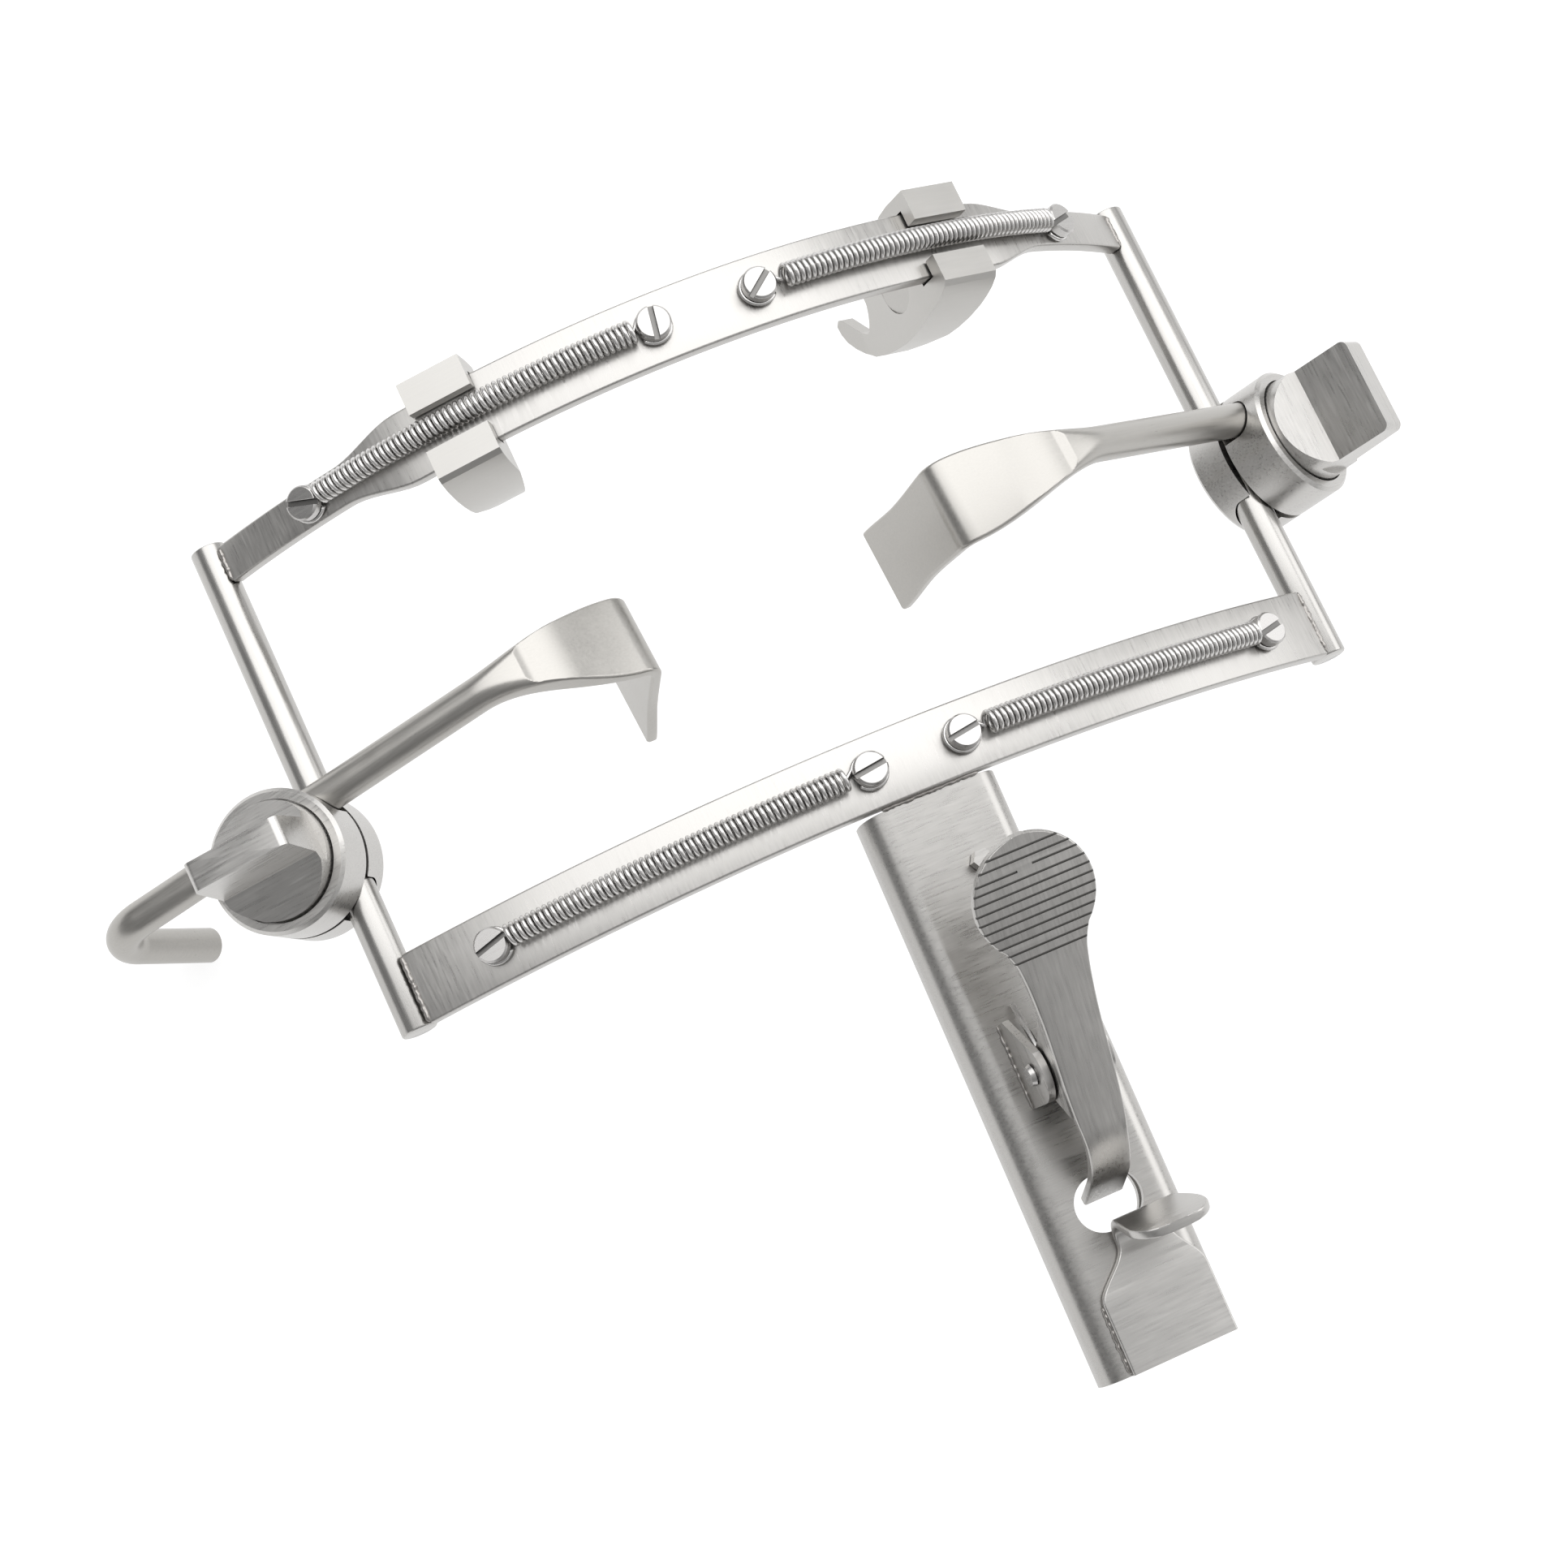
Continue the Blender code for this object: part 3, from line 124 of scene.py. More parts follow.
# Tooth hooks
HOOK_ANGLE = 22.5
HOOK_WIDTH = 11 * MM
HOOK_LIP = 2.6 * MM
HOOK_TOP_HEIGHT = 2.8 * MM
HOOK_LIP_GAP = 6.7 * MM
HOOK_BACK = 2.15 * MM
HOOK_DISH_RADIUS = 4.7 * MM
HOOK_DISH_DEPTH = 0.8 * MM
HOOK_DISH_AT = (-10.5 * MM, -1.8 * MM)
HOOK_CHAMFER = 0.25 * MM
HOOK_SLOPE_START = 4 * MM
HOOK_INNER_SLOPE = 0.2
HOOK_DEPTH = 27 * MM
CLAW_WIDTH = 2.4 * MM

# The hook's side view, in millimetres in front of the bar and up the frame
HOOK_FOOT = -8.2
HOOK_UNDERSIDE = ((1.8, -9.0), (0.0, -9.8), (-2.0, -10.3), (-4.5, -10.7), (-8.0, -10.9), (-11.5, -10.8),
                  (-15.0, -10.4), (-19.0, -9.5), (-22.5, -8.5))
HOOK_CLAW = ((-26.0, -7.0), (-28.3, -5.1), (-29.9, -3.3), (-31.2, -1.3), (-31.8, 0.6), (-31.9, 2.2),
             (-31.0, 2.9), (-30.1, 2.5), (-29.2, 1.3), (-28.2, -0.1), (-26.9, -1.8), (-25.6, -2.8))
HOOK_HEEL = ((-24.6, -3.1), (-23.2, -2.1), (-22.1, -0.8), (-21.3, 0.6), (-21.2, 2.4), (-17.5, 4.6),
             (-11.0, 6.6))

# Rod clamps
JAW_RADIUS = 11.7 * MM
BACK_JAW_REAR = -4.3 * MM
BACK_JAW_FRONT = 2.3 * MM
JAW_GAP = 1.0 * MM
FRONT_JAW_THICKNESS = 8.6 * MM
RECESS_DEPTH = 1.9 * MM
JAW_CHAMFER = 0.6 * MM
BOLT_RADIUS = 2.5 * MM
BOLT_HEAD_RADIUS = 4.0 * MM
BOLT_HEAD_HEIGHT = 0.9 * MM
BOLT_TO_ROD = 6.3 * MM

# Each clamp: its side, place along the rod and turn about it, and its retractor's slope, reach
# outwards, spin and hook, then the knob's turn. Turns are in degrees.
CLAMPS = {
    "left": (-1, -11.1 * MM, -27.7, 4.75, 26.4 * MM, -7, 108, 0),
    "right": (1, -6.6 * MM, 39.5, 4.1, 10.9 * MM, 0, 75, 90),
}

# Wing knobs
KNOB_RADIUS = 9.6 * MM
KNOB_RIM = 2.7 * MM
KNOB_RIDGE_RISE = 3.9 * MM
WING_TOP_RISE = 17.1 * MM
WING_HALF_ROOT = 3.0 * MM
WING_HALF_TOP = 2.4 * MM
WING_LENGTH = 17.2 * MM
WING_FOOT = 0.8 * MM
WING_ROUND = 1.3 * MM
KNOB_THREAD_DEPTH = 6.2 * MM

# Cheek retractors
RETRACTOR_RADIUS = 2.9 * MM
RETRACTOR_HOOK_BEND = 6.6 * MM
RETRACTOR_HOOK_ARM = 17.0 * MM
RETRACTOR_STRAIGHT = 66.6 * MM
RETRACTOR_BEND = 21.3 * MM
RETRACTOR_TURN = 42.8
BLADE_RUN = 10.9 * MM
BLADE_BEND = 3.0 * MM
BLADE_TURN = 74.3
BLADE_TIP = 23.9 * MM
BLADE_HALF_WIDTH = 7.2 * MM
BLADE_WAIST = 6.6 * MM
BLADE_THICKNESS = 1.9 * MM
BLADE_EDGE = 0.55 * MM
FACE_RUN = 3.0 * MM
FACE_AFTER = 6.5 * MM
FACE_START = 1.9 * MM
ROD_END_ROUND = 0.6 * MM

# Handle tube, as long as the lever's pin, the catch hole and the end tab need below the lower bar
PIN_DOWN = 47.4 * MM
PIN_TO_HOLE = 22.5 * MM
HOLE_TO_TAB = 6.9 * MM
TAB_NECK_RUN = 19.2 * MM
HANDLE_X = 2.65 * MM
HANDLE_FRONT_Z = 24.0 * MM
HANDLE_TILT = 7.0
CATCH_HOLE_DOWN = PIN_DOWN + PIN_TO_HOLE
HANDLE_LENGTH = CATCH_HOLE_DOWN + HOLE_TO_TAB + TAB_NECK_RUN
HANDLE_WIDTH = 24 * MM
HANDLE_DEPTH = 10 * MM
HANDLE_CORNER = 4.5 * MM
HANDLE_WALL = 1.3 * MM
CATCH_HOLE_WIDTH = 11.5 * MM
CATCH_HOLE_LENGTH = 9.1 * MM
BACK_HOLE_WIDTH = 15 * MM
BACK_HOLE_LENGTH = 12 * MM

# End tab
TAB_THICKNESS = 1.5 * MM
TAB_FOOT_WIDTH = 18.4 * MM
TAB_FOOT_SHIFT = 1.2 * MM
TAB_FOOT_RUN = 11.5 * MM
TAB_NECK_WIDTH = 8.8 * MM
TAB_NECK_SHIFT = 2.4 * MM
TAB_BEND = 2.6 * MM
TAB_TURN = 108
TAB_REACH = 10.9 * MM
TAB_END_WIDTH = 13.6 * MM
TAB_END_SHIFT = 4.3 * MM
TAB_END_ROUND = 5.0 * MM
SHEET_EDGE = 0.4 * MM

# Catch lever: distances along it run from the pin towards the thumb pad
LEVER_X = 0.65 * MM
PIN_HEIGHT = 8.0 * MM
LEVER_TILT = 23.4
LEVER_RISE = 7.5 * MM
LEVER_THICKNESS = 1.6 * MM
PAD_RADIUS = 10 * MM
PAD_END = 40.1 * MM
PAD_END_HALF = 1.2 * MM
PAD_SHOULDER = 7 * MM
PAD_GROOVES = 12
PAD_GROOVE_PITCH = 1.55 * MM
PAD_GROOVE_MARGIN = 1.2 * MM
BROKEN_GROOVE = 2
PAD_GROOVE_WIDTH = 0.36 * MM
PAD_GROOVE_DEPTH = 0.35 * MM
WAIST_WIDTH = 11.5 * MM
WAIST_AT = 19.5 * MM
STRIP_WIDTH = 6.9 * MM
CHEEK_WIDTH = 8.8 * MM
CHEEK_THICKNESS = 1.1 * MM
CHEEK_LOBE = 3.6 * MM
CHEEK_LOBE_ARC = (205, 350)
CHEEK_HEEL = 6.2 * MM
CHEEK_THROAT = (6.0 * MM, 2.2 * MM)
CHEEK_SHOULDER = 10.5 * MM
CHEEK_SHOULDER_DROP = 1.7 * MM
CHEEK_TOE = 15.5 * MM
CATCH_BEND_AT = -8.2 * MM
CATCH_BEND = 15.5 * MM
CATCH_TURN = 49
CATCH_TIP = 6.6 * MM
PIN_RADIUS = 1.4 * MM
PIN_HEAD_RADIUS = 1.85 * MM
PIN_HEAD_HEIGHT = 0.7 * MM
PIN_HEAD_EDGE = 0.3 * MM
EAR_GAP = 9.4 * MM
EAR_THICKNESS = 1.2 * MM
EAR_TOE = 9.2 * MM
EAR_TOE_LEAN = 0.2 * MM
EAR_TOE_HEIGHT = 2.6 * MM
EAR_ARC = (52, 180)
EAR_ROUND = 4.9 * MM
LEVER_SPRING_WIRE = 0.5 * MM
LEVER_SPRING_RADIUS = 2.4 * MM
LEVER_SPRING_TURNS = 4
LEVER_SPRING_STEPS = 32
TUBE_LEG_REACH = 11.5 * MM
LEVER_LEG_REACH = 11.0 * MM

# Stop screw: its end stands in the channel, where it stops the tongue blade's shank
STOP_X = 2.8 * MM
STOP_DOWN = 13.3 * MM
STOP_HEAD_RADIUS = 1.7 * MM
STOP_HEAD_HEIGHT = 2.7 * MM
STOP_RADIUS = 1.1 * MM
STOP_REACH = 2.2 * MM

# Weld seams: radius of each bead, its steps along and round, and its lumps
BAR_WELD = 0.42 * MM
BAR_WELD_OUT = 0.15 * MM
BAR_WELD_INSET = 0.3 * MM
TAB_WELD = 0.42 * MM
HANDLE_TOP_WELD = 0.34 * MM
EAR_WELD = 0.3 * MM
WELD_SINK = 0.1 * MM
WELD_STEP = 0.22 * MM
WELD_SIDES = 10
WELD_LUMPS = 1500
WELD_LUMP_HEIGHT = 0.55
WELD_TAPER, WELD_END = 0.3, 0.1

# Worked out from the sizes above
UPPER_RISE = UPPER_BAR_HEIGHT - BAR_END_HEIGHT
LOWER_RISE = LOWER_BAR_HEIGHT - BAR_END_HEIGHT
HALF_SPAN = BAR_END_SPAN / 2
UPPER_RADIUS = (HALF_SPAN ** 2 + UPPER_RISE ** 2) / (2 * UPPER_RISE)
LOWER_RADIUS = (HALF_SPAN ** 2 + LOWER_RISE ** 2) / (2 * LOWER_RISE)
UPPER_AXIS_Z = UPPER_BAR_HEIGHT - UPPER_RADIUS
LOWER_AXIS_Z = LOWER_BAR_HEIGHT - LOWER_RADIUS
SCREW_HEAD_UNDER = TOUCH_GAP + 2 * SPRING_WIRE + TOUCH_GAP
COIL_RADIUS = SPRING_OUTER_RADIUS - SPRING_WIRE
COIL_HEIGHT = TOUCH_GAP + SPRING_OUTER_RADIUS
FRONT_JAW_REAR = BACK_JAW_FRONT + JAW_GAP
FRONT_JAW_FRONT = FRONT_JAW_REAR + FRONT_JAW_THICKNESS
RETRACTOR_HEIGHT = FRONT_JAW_REAR + RETRACTOR_RADIUS
BOLT_TO_RETRACTOR = BOLT_RADIUS + RETRACTOR_RADIUS + 0.8 * MM
KNOB_REAR = FRONT_JAW_FRONT - RECESS_DEPTH + TOUCH_GAP
BAR_UNDERSIDE_Y = LOWER_BAR_Y - BAR_WIDTH / 2
CHANNEL_FLOOR = HANDLE_DEPTH - HANDLE_WALL
TILT = radians(HANDLE_TILT)
PIN_PLACE = (LEVER_X, -PIN_DOWN, PIN_HEIGHT)

# Fine edges, and how near points are taken as one
SCREW_EDGE, SCREW_HEAD_EDGE = 0.1 * MM, 0.3 * MM
KNOB_EDGE, KNOB_REAR_EDGE = 0.25 * MM, 0.4 * MM
TUBE_EDGE = 0.14 * MM
EAR_EDGE = 0.2 * MM
SAME_POINT = 0.000001
SAME_AXIS_POINT = 0.00001

# Camera, fitted to the photograph
CAMERA_LENS = 90.16
CAMERA_EYE = (-0.171493, -0.027280, 0.602542)
CAMERA_TURN_X, CAMERA_TURN_Y, CAMERA_TURN_Z = 0.215, -0.253, -0.440

# Finishes: colour, roughness, strength of the brushing, and the piece's own axis that it runs along
FINISHES = {
    "rod": ((0.45, 0.44, 0.425), 0.26, 0.20, "Z"),
    "bar": ((0.47, 0.46, 0.445), 0.34, 0.30, "Y"),
    "tube": ((0.45, 0.44, 0.425), 0.30, 0.25, "X"),
    "milled": ((0.48, 0.47, 0.452), 0.36, 0.08, "Z"),
    "turned": ((0.52, 0.51, 0.495), 0.32, 0.30, "X"),
    "forged": ((0.42, 0.408, 0.387), 0.33, 0.18, "X"),
    "sheet": ((0.50, 0.49, 0.475), 0.32, 0.25, "X"),
    "lever": ((0.46, 0.45, 0.435), 0.32, 0.35, "Y"),
    "screw": ((0.50, 0.49, 0.48), 0.28, 0.15, "X"),
    "wire": ((0.60, 0.59, 0.58), 0.27, 0.02, "X"),
    "weld": ((0.34, 0.325, 0.31), 0.32, 0.10, "X"),
    # the dark cut finish is painted shade: it darkens the faces of the screw slots and the lever pad grooves
    "cut": ((0.20, 0.196, 0.19), 0.40, 0.10, "X"),
}
FINE_LINES, DRAWN_LINES = 2600, 160
CLOUDS, CLOUD_SHARE = 180, 0.4
NOISE_RANGE = (0.45, 0.95)
TONE_SHARE = 0.35
BUMP_DEPTH = 0.02 * MM
GRAIN = "grain"
SOFT_ANGLE, CRISP_ANGLE = 100, 18


def add_node(tree, kind, sockets, **settings):
    """A shader node with its settings. Each socket is given a value, or the output that feeds it."""
    node = tree.nodes.new("ShaderNode" + kind)
    for key, value in settings.items():
        setattr(node, key, value)
    for socket, value in sockets.items():
        if isinstance(value, bpy.types.NodeSocket):
            tree.links.new(value, node.inputs[socket])
        else:
            node.inputs[socket].default_value = value
    return node


def spread_range(tree, source, low, high, to_low, to_high):
    """The source's values from low to high, spread from to_low to to_high."""
    return add_node(tree, "MapRange", {
        "From Min": low, "From Max": high, "To Min": to_low, "To Max": to_high, "Value": source},
    ).outputs["Result"]


def make_steel(name, colour, roughness, brushing, axis):
    """Brushed steel: lines drawn out along one axis of the piece vary its roughness, tone and surface."""
    material = bpy.data.materials.new("steel_" + name)
    material.use_nodes = True
    tree = material.node_tree
    shader = tree.nodes["Principled BSDF"]
    shader.inputs["Metallic"].default_value = 1
    where = add_node(tree, "Attribute", {}, attribute_name=GRAIN).outputs["Vector"]
    lines = [DRAWN_LINES if letter == axis else FINE_LINES for letter in "XYZ"]
    stretch = add_node(tree, "Mapping", {"Scale": lines, "Vector": where})
    streaks = add_node(tree, "TexNoise", {
        "Scale": 1, "Detail": 4, "Roughness": 0.6, "Vector": stretch.outputs["Vector"]}).outputs["Fac"]
    clouds = add_node(tree, "TexNoise", {"Scale": CLOUDS, "Detail": 4, "Vector": where}).outputs["Fac"]
    mixed = add_node(tree, "Math", {0: clouds, 1: CLOUD_SHARE, 2: streaks},
                     operation="MULTIPLY_ADD").outputs[0]
    rough = spread_range(tree, mixed, *NOISE_RANGE, roughness * (1 - brushing), roughness * (1 + brushing))
    dark, light = [(*[min(1, value * (1 + share * brushing)) for value in colour], 1)
                   for share in (-TONE_SHARE, TONE_SHARE)]
    share = spread_range(tree, mixed, *NOISE_RANGE, 0, 1)
    tone = add_node(tree, "Mix", {}, data_type="RGBA")
    tone.inputs[6].default_value, tone.inputs[7].default_value = dark, light
    bump = add_node(tree, "Bump", {"Strength": brushing, "Distance": BUMP_DEPTH, "Height": streaks})
    for output, socket in ((rough, shader.inputs["Roughness"]), (share, tone.inputs[0]),
                           (tone.outputs[2], shader.inputs["Base Color"]),
                           (bump.outputs["Normal"], shader.inputs["Normal"])):
        tree.links.new(output, socket)
    return material


STEEL = {name: make_steel(name, *finish) for name, finish in FINISHES.items()}
PIECES = bpy.data.collections.new("pieces")
CUTTERS = bpy.data.collections.new("cutters")
for collection in (PIECES, CUTTERS):
    bpy.context.scene.collection.children.link(collection)


def frame_at(name, parent, location, turn=(0, 0, 0)):
    """An empty that carries pieces: its place and its turn in degrees stand in its parent's frame."""
    empty = bpy.data.objects.new(name, None)
    PIECES.objects.link(empty)
    empty.parent = parent
    empty.location = location
    empty.rotation_euler = [radians(angle) for angle in turn]
    return empty


def place(item, name, parent, location=(0, 0, 0), turn=(0, 0, 0), look=None):
    """Names a new object, puts it in its frame and in the right collection. No look makes it a cutter."""
    for collection in list(item.users_collection):
        collection.objects.unlink(item)
    (PIECES if look else CUTTERS).objects.link(item)
    item.name = "fine_" + name if look else name
    item.parent = parent
    item.location = location
    item.rotation_euler = [radians(angle) for angle in turn]
    if look:
        item.data.materials.clear()
        item.data.materials.append(STEEL[look])
    return item


def mesh_object(name, shape):
    """A new object that holds a finished bmesh."""
    bmesh.ops.recalc_face_normals(shape, faces=shape.faces)
    mesh = bpy.data.meshes.new(name)
    shape.to_mesh(mesh)
    shape.free()
    return bpy.data.objects.new(name, mesh)


def round_bar(name, radius, bottom, top, parent, sides=32, look=None, **where):
    """A cylinder along its own Z."""
    bpy.ops.mesh.primitive_cylinder_add(vertices=sides, radius=radius, depth=top - bottom)
    item = bpy.context.object
    for vertex in item.data.vertices:
        vertex.co.z += (top + bottom) / 2
    return place(item, name, parent, look=look, **where)


def block(name, low, high, parent, look=None, **where):
    """A box between two corners."""
    bpy.ops.mesh.primitive_cube_add(size=1)
    item = bpy.context.object
    low, high = Vector(low), Vector(high)
    for vertex in item.data.vertices:
        vertex.co = [a + (b - a) * (c + 0.5) for a, b, c in zip(low, high, vertex.co)]
    return place(item, name, parent, look=look, **where)


def turned(name, profile, parent, steps=24, look=None, **where):
    """A profile of (radius, height) points, from the axis out, up and back, turned about Z."""
    shape = bmesh.new()
    points = [shape.verts.new((radius, 0, height)) for radius, height in reversed(profile)]
    for first, second in zip(points, points[1:]):
        shape.edges.new((first, second))
    mesh = bpy.data.meshes.new(name)
    shape.to_mesh(mesh)
    shape.free()
    item = bpy.data.objects.new(name, mesh)
    screw = item.modifiers.new("turn", "SCREW")
    screw.steps = screw.render_steps = steps
    screw.use_merge_vertices = True
    screw.merge_threshold = SAME_AXIS_POINT
    return place(item, name, parent, look=look, **where)


def curve_shape(name, curve):
    """A drawn curve as a closed bmesh."""
    drawn = bpy.data.objects.new(name + "_drawn", curve)
    PIECES.objects.link(drawn)
    graph = bpy.context.evaluated_depsgraph_get()
    mesh = bpy.data.meshes.new_from_object(drawn.evaluated_get(graph))
    bpy.data.objects.remove(drawn)
    shape = bmesh.new()
    shape.from_mesh(mesh)
    bmesh.ops.remove_doubles(shape, verts=shape.verts, dist=SAME_POINT)
    return shape


def plate(name, outlines, bottom, top, parent, look=None, **where):
    """Closed outlines of (x, y) points, filled and raised between two heights. A second one is a hole."""
    curve = bpy.data.curves.new(name, "CURVE")
    curve.dimensions = "2D"
    curve.fill_mode = "BOTH"
    curve.extrude = (top - bottom) / 2
    for outline in outlines:
        spline = curve.splines.new("POLY")
        spline.points.add(len(outline) - 1)
        for point, (x, y) in zip(spline.points, outline):
            point.co = (x, y, 0, 1)
        spline.use_cyclic_u = True
    shape = curve_shape(name, curve)
    bmesh.ops.translate(shape, verts=shape.verts, vec=(0, 0, (top + bottom) / 2))
    return place(mesh_object(name, shape), name, parent, look=look, **where)


def wire(name, points, radius, parent, sides=0, look=None, **where):
    """A round wire through a list of points, as a closed mesh."""
    curve = bpy.data.curves.new(name, "CURVE")
    curve.dimensions = "3D"
    curve.bevel_depth = radius
    curve.bevel_resolution = sides
    curve.use_fill_caps = True
    spline = curve.splines.new("POLY")
    spline.points.add(len(points) - 1)
    for target, point in zip(spline.points, points):
        target.co = (*point, 1)
    shape = curve_shape(name, curve)
    return place(mesh_object(name, shape), name, parent, look=look, **where)


def boolean(item, other, operation):
    modifier = item.modifiers.new(other.name, "BOOLEAN")
    modifier.operation = operation
    modifier.solver = "EXACT"
    modifier.object = other


def cut(item, other, look=None):
    """Cuts one piece by another. A look gives the cut faces their own material; the dark cut finish is
    painted shade in slots and grooves.
    """
    boolean(item, other, "DIFFERENCE")
    if look:
        other.data.materials.append(STEEL[look])
        item.modifiers[-1].material_mode = "TRANSFER"


def join(item, other):
    boolean(item, other, "UNION")


def chamfer(item, width, segments=1, angle=35):
    """A narrow slope in place of each edge over the angle."""
    bevel = item.modifiers.new("edges", "BEVEL")
    bevel.width = width
    bevel.segments = segments
    bevel.limit_method = "ANGLE"
    bevel.angle_limit = radians(angle)


def shade_smooth(item, angle):
    """Smooth faces with sharp edges kept over the angle."""
    shape = bmesh.new()
    shape.from_mesh(item.data)
    for face in shape.faces:
        face.smooth = True
    for edge in shape.edges:
        if len(edge.link_faces) == 2 and edge.calc_face_angle(0) > radians(angle):
            edge.smooth = False
    shape.to_mesh(item.data)
    shape.free()


def ease(value, table):
    """A value read from a table of (distance, value) pairs, smooth between them."""
    for (start, low), (end, high) in zip(table, table[1:]):
        if value <= end:
            share = min(max((value - start) / (end - start), 0), 1)
            share = share * share * (3 - 2 * share)
            return low + (high - low) * share
    return table[-1][1]


def flowing(value, table):
    """A value read from a table of (distance, value) pairs along one smooth curve through them all."""
    if value <= table[0][0]:
        return table[0][1]
    if value >= table[-1][0]:
        return table[-1][1]
    count = len(table)
    slopes = []
    for index in range(count):
        before, after = table[max(index - 1, 0)], table[min(index + 1, count - 1)]
        slopes.append((after[1] - before[1]) / (after[0] - before[0]))
    index = next(number for number in range(count - 1) if value <= table[number + 1][0])
    (start, low), (end, high) = table[index:index + 2]
    run = end - start
    share = (value - start) / run
    square, cube = share ** 2, share ** 3
    return (low * (2 * cube - 3 * square + 1) + high * (3 * square - 2 * cube)
            + run * (slopes[index] * (cube - 2 * square + share) + slopes[index + 1] * (cube - square)))


def bent_line(start, heading, pieces):
    """A line in a plane made of (length, turn) pieces in metres and radians, read by distance along it."""
    def at(distance):
        point, angle = Vector(start), heading
        for length, turn in pieces:
            run = min(distance, length)
            if turn:
                radius = length / turn
                after = angle + run / radius
                chord = (sin(after) - sin(angle), cos(angle) - cos(after))
                point += radius * Vector(chord)
                angle = after
            else:
                point += run * Vector((cos(angle), sin(angle)))
            distance -= run
            if distance <= 0:
                break
        return point, angle
    return at


def rounded_section(half_width, half_height, corner, corner_points):
    """A rectangle with round corners, which is a circle when the corner takes it all."""
    points = []
    for quarter, (x_side, y_side) in enumerate(((1, 1), (-1, 1), (-1, -1), (1, -1))):
        for step in range(corner_points):
            angle = radians(90 * (quarter + (step + 0.5) / corner_points))
            points.append((
                x_side * (half_width - corner) + corner * cos(angle),
                y_side * (half_height - corner) + corner * sin(angle),
            ))
    return points


def skin(shape, rings):
    """Faces between rings of vertices that follow each other, and one over each end."""
    count = len(rings[0])
    for before, after in zip(rings, rings[1:]):
        for index in range(count):
            follow = (index + 1) % count
            shape.faces.new((before[index], before[follow], after[follow], after[index]))
    shape.faces.new(rings[0])
    shape.faces.new(rings[-1])


def loft(name, line, distances, section, along, turn_to, parent, corner_points=2, look=None, **where):
    """Sections that change along a bent line, skinned.

    section gives a half width, a half height, a corner radius, a shift sideways, and how far
    off the line the flat face on the inside of the first turn is milled.
    """
    side = along.cross(turn_to)
    shape = bmesh.new()
    rings = []
    for distance in distances:
        (first, second), angle = line(distance)
        half_width, half_height, corner, shift, face = section(distance)
        centre = along * first + turn_to * second + side * shift
        normal = turn_to * cos(angle) - along * sin(angle)
        outline = rounded_section(half_width, half_height, corner, corner_points)
        rings.append([shape.verts.new(centre + side * x + normal * max(y, -face)) for x, y in outline])
    skin(shape, rings)
    return place(mesh_object(name, shape), name, parent, look=look, **where)


def spread(*stops):
    """Distances from stop to stop: each stop after the first is (end, count of steps)."""
    found = [stops[0]]
    for end, count in stops[1:]:
        start = found[-1]
        found += [start + (end - start) * (step + 1) / count for step in range(count)]
    return found


# Frames: the origin is the middle of the channel floor at the handle's open end
def handle_point(x, down, height):
    """A point of the handle's own frame, in the gag's frame."""
    return Vector((
        HANDLE_X + x,
        BAR_UNDERSIDE_Y - down * cos(TILT) - height * sin(TILT),
        HANDLE_FRONT_Z - down * sin(TILT) + height * cos(TILT),
    ))


GAG = frame_at("gag_frame", None, -handle_point(0, HANDLE_LENGTH, -CHANNEL_FLOOR))
UPPER_ARC = frame_at("upper_arc_axis", GAG, (0, UPPER_BAR_Y, UPPER_AXIS_Z))
LOWER_ARC = frame_at("lower_arc_axis", GAG, (0, LOWER_BAR_Y, LOWER_AXIS_Z))
HANDLE = frame_at("handle_frame", GAG, (HANDLE_X, BAR_UNDERSIDE_Y, HANDLE_FRONT_Z), (HANDLE_TILT, 0, 0))
LEVER = frame_at("lever_pin_axis", HANDLE, PIN_PLACE, (LEVER_TILT, 0, 0))


# Weld seams
def weld(name, parent, path, radius):
    """An uneven bead along a line of points."""
    shape = bmesh.new()
    points = []
    for start, end in zip(path, path[1:]):
        count = max(1, round((Vector(end) - Vector(start)).length / WELD_STEP))
        points += [Vector(start).lerp(Vector(end), number / count) for number in range(count)]
    points.append(Vector(path[-1]))
    along = (points[-1] - points[0]).normalized()
    side = along.orthogonal().normalized()
    other = along.cross(side)
    rings = []
    for number, point in enumerate(points):
        from_end = min(number, len(points) - 1 - number)
        taper = sqrt(min(1, from_end * WELD_TAPER + WELD_END))
        ring = []
        for corner in range(WELD_SIDES):
            angle = 2 * pi * corner / WELD_SIDES
            out = side * cos(angle) + other * sin(angle)
            lumps = noise.noise((point + out * radius) * WELD_LUMPS + Vector((len(name), 0, 0)))
            ring.append(shape.verts.new(point + out * radius * taper * (1 + WELD_LUMP_HEIGHT * lumps)))
        rings.append(ring)
    skin(shape, rings)
    place(mesh_object(name, shape), name, parent, look="weld")


# Frame rods
def make_side_rod(name, side):
    rod = round_bar(
        name, ROD_RADIUS, -ROD_LENGTH / 2, ROD_LENGTH / 2, GAG, 64, "rod",
        location=(side * ROD_SPACING / 2, 0, 0), turn=(-90, 0, 0),
    )
    chamfer(rod, ROD_CHAMFER, 3)


make_side_rod("left_side_rod", -1)
make_side_rod("right_side_rod", 1)


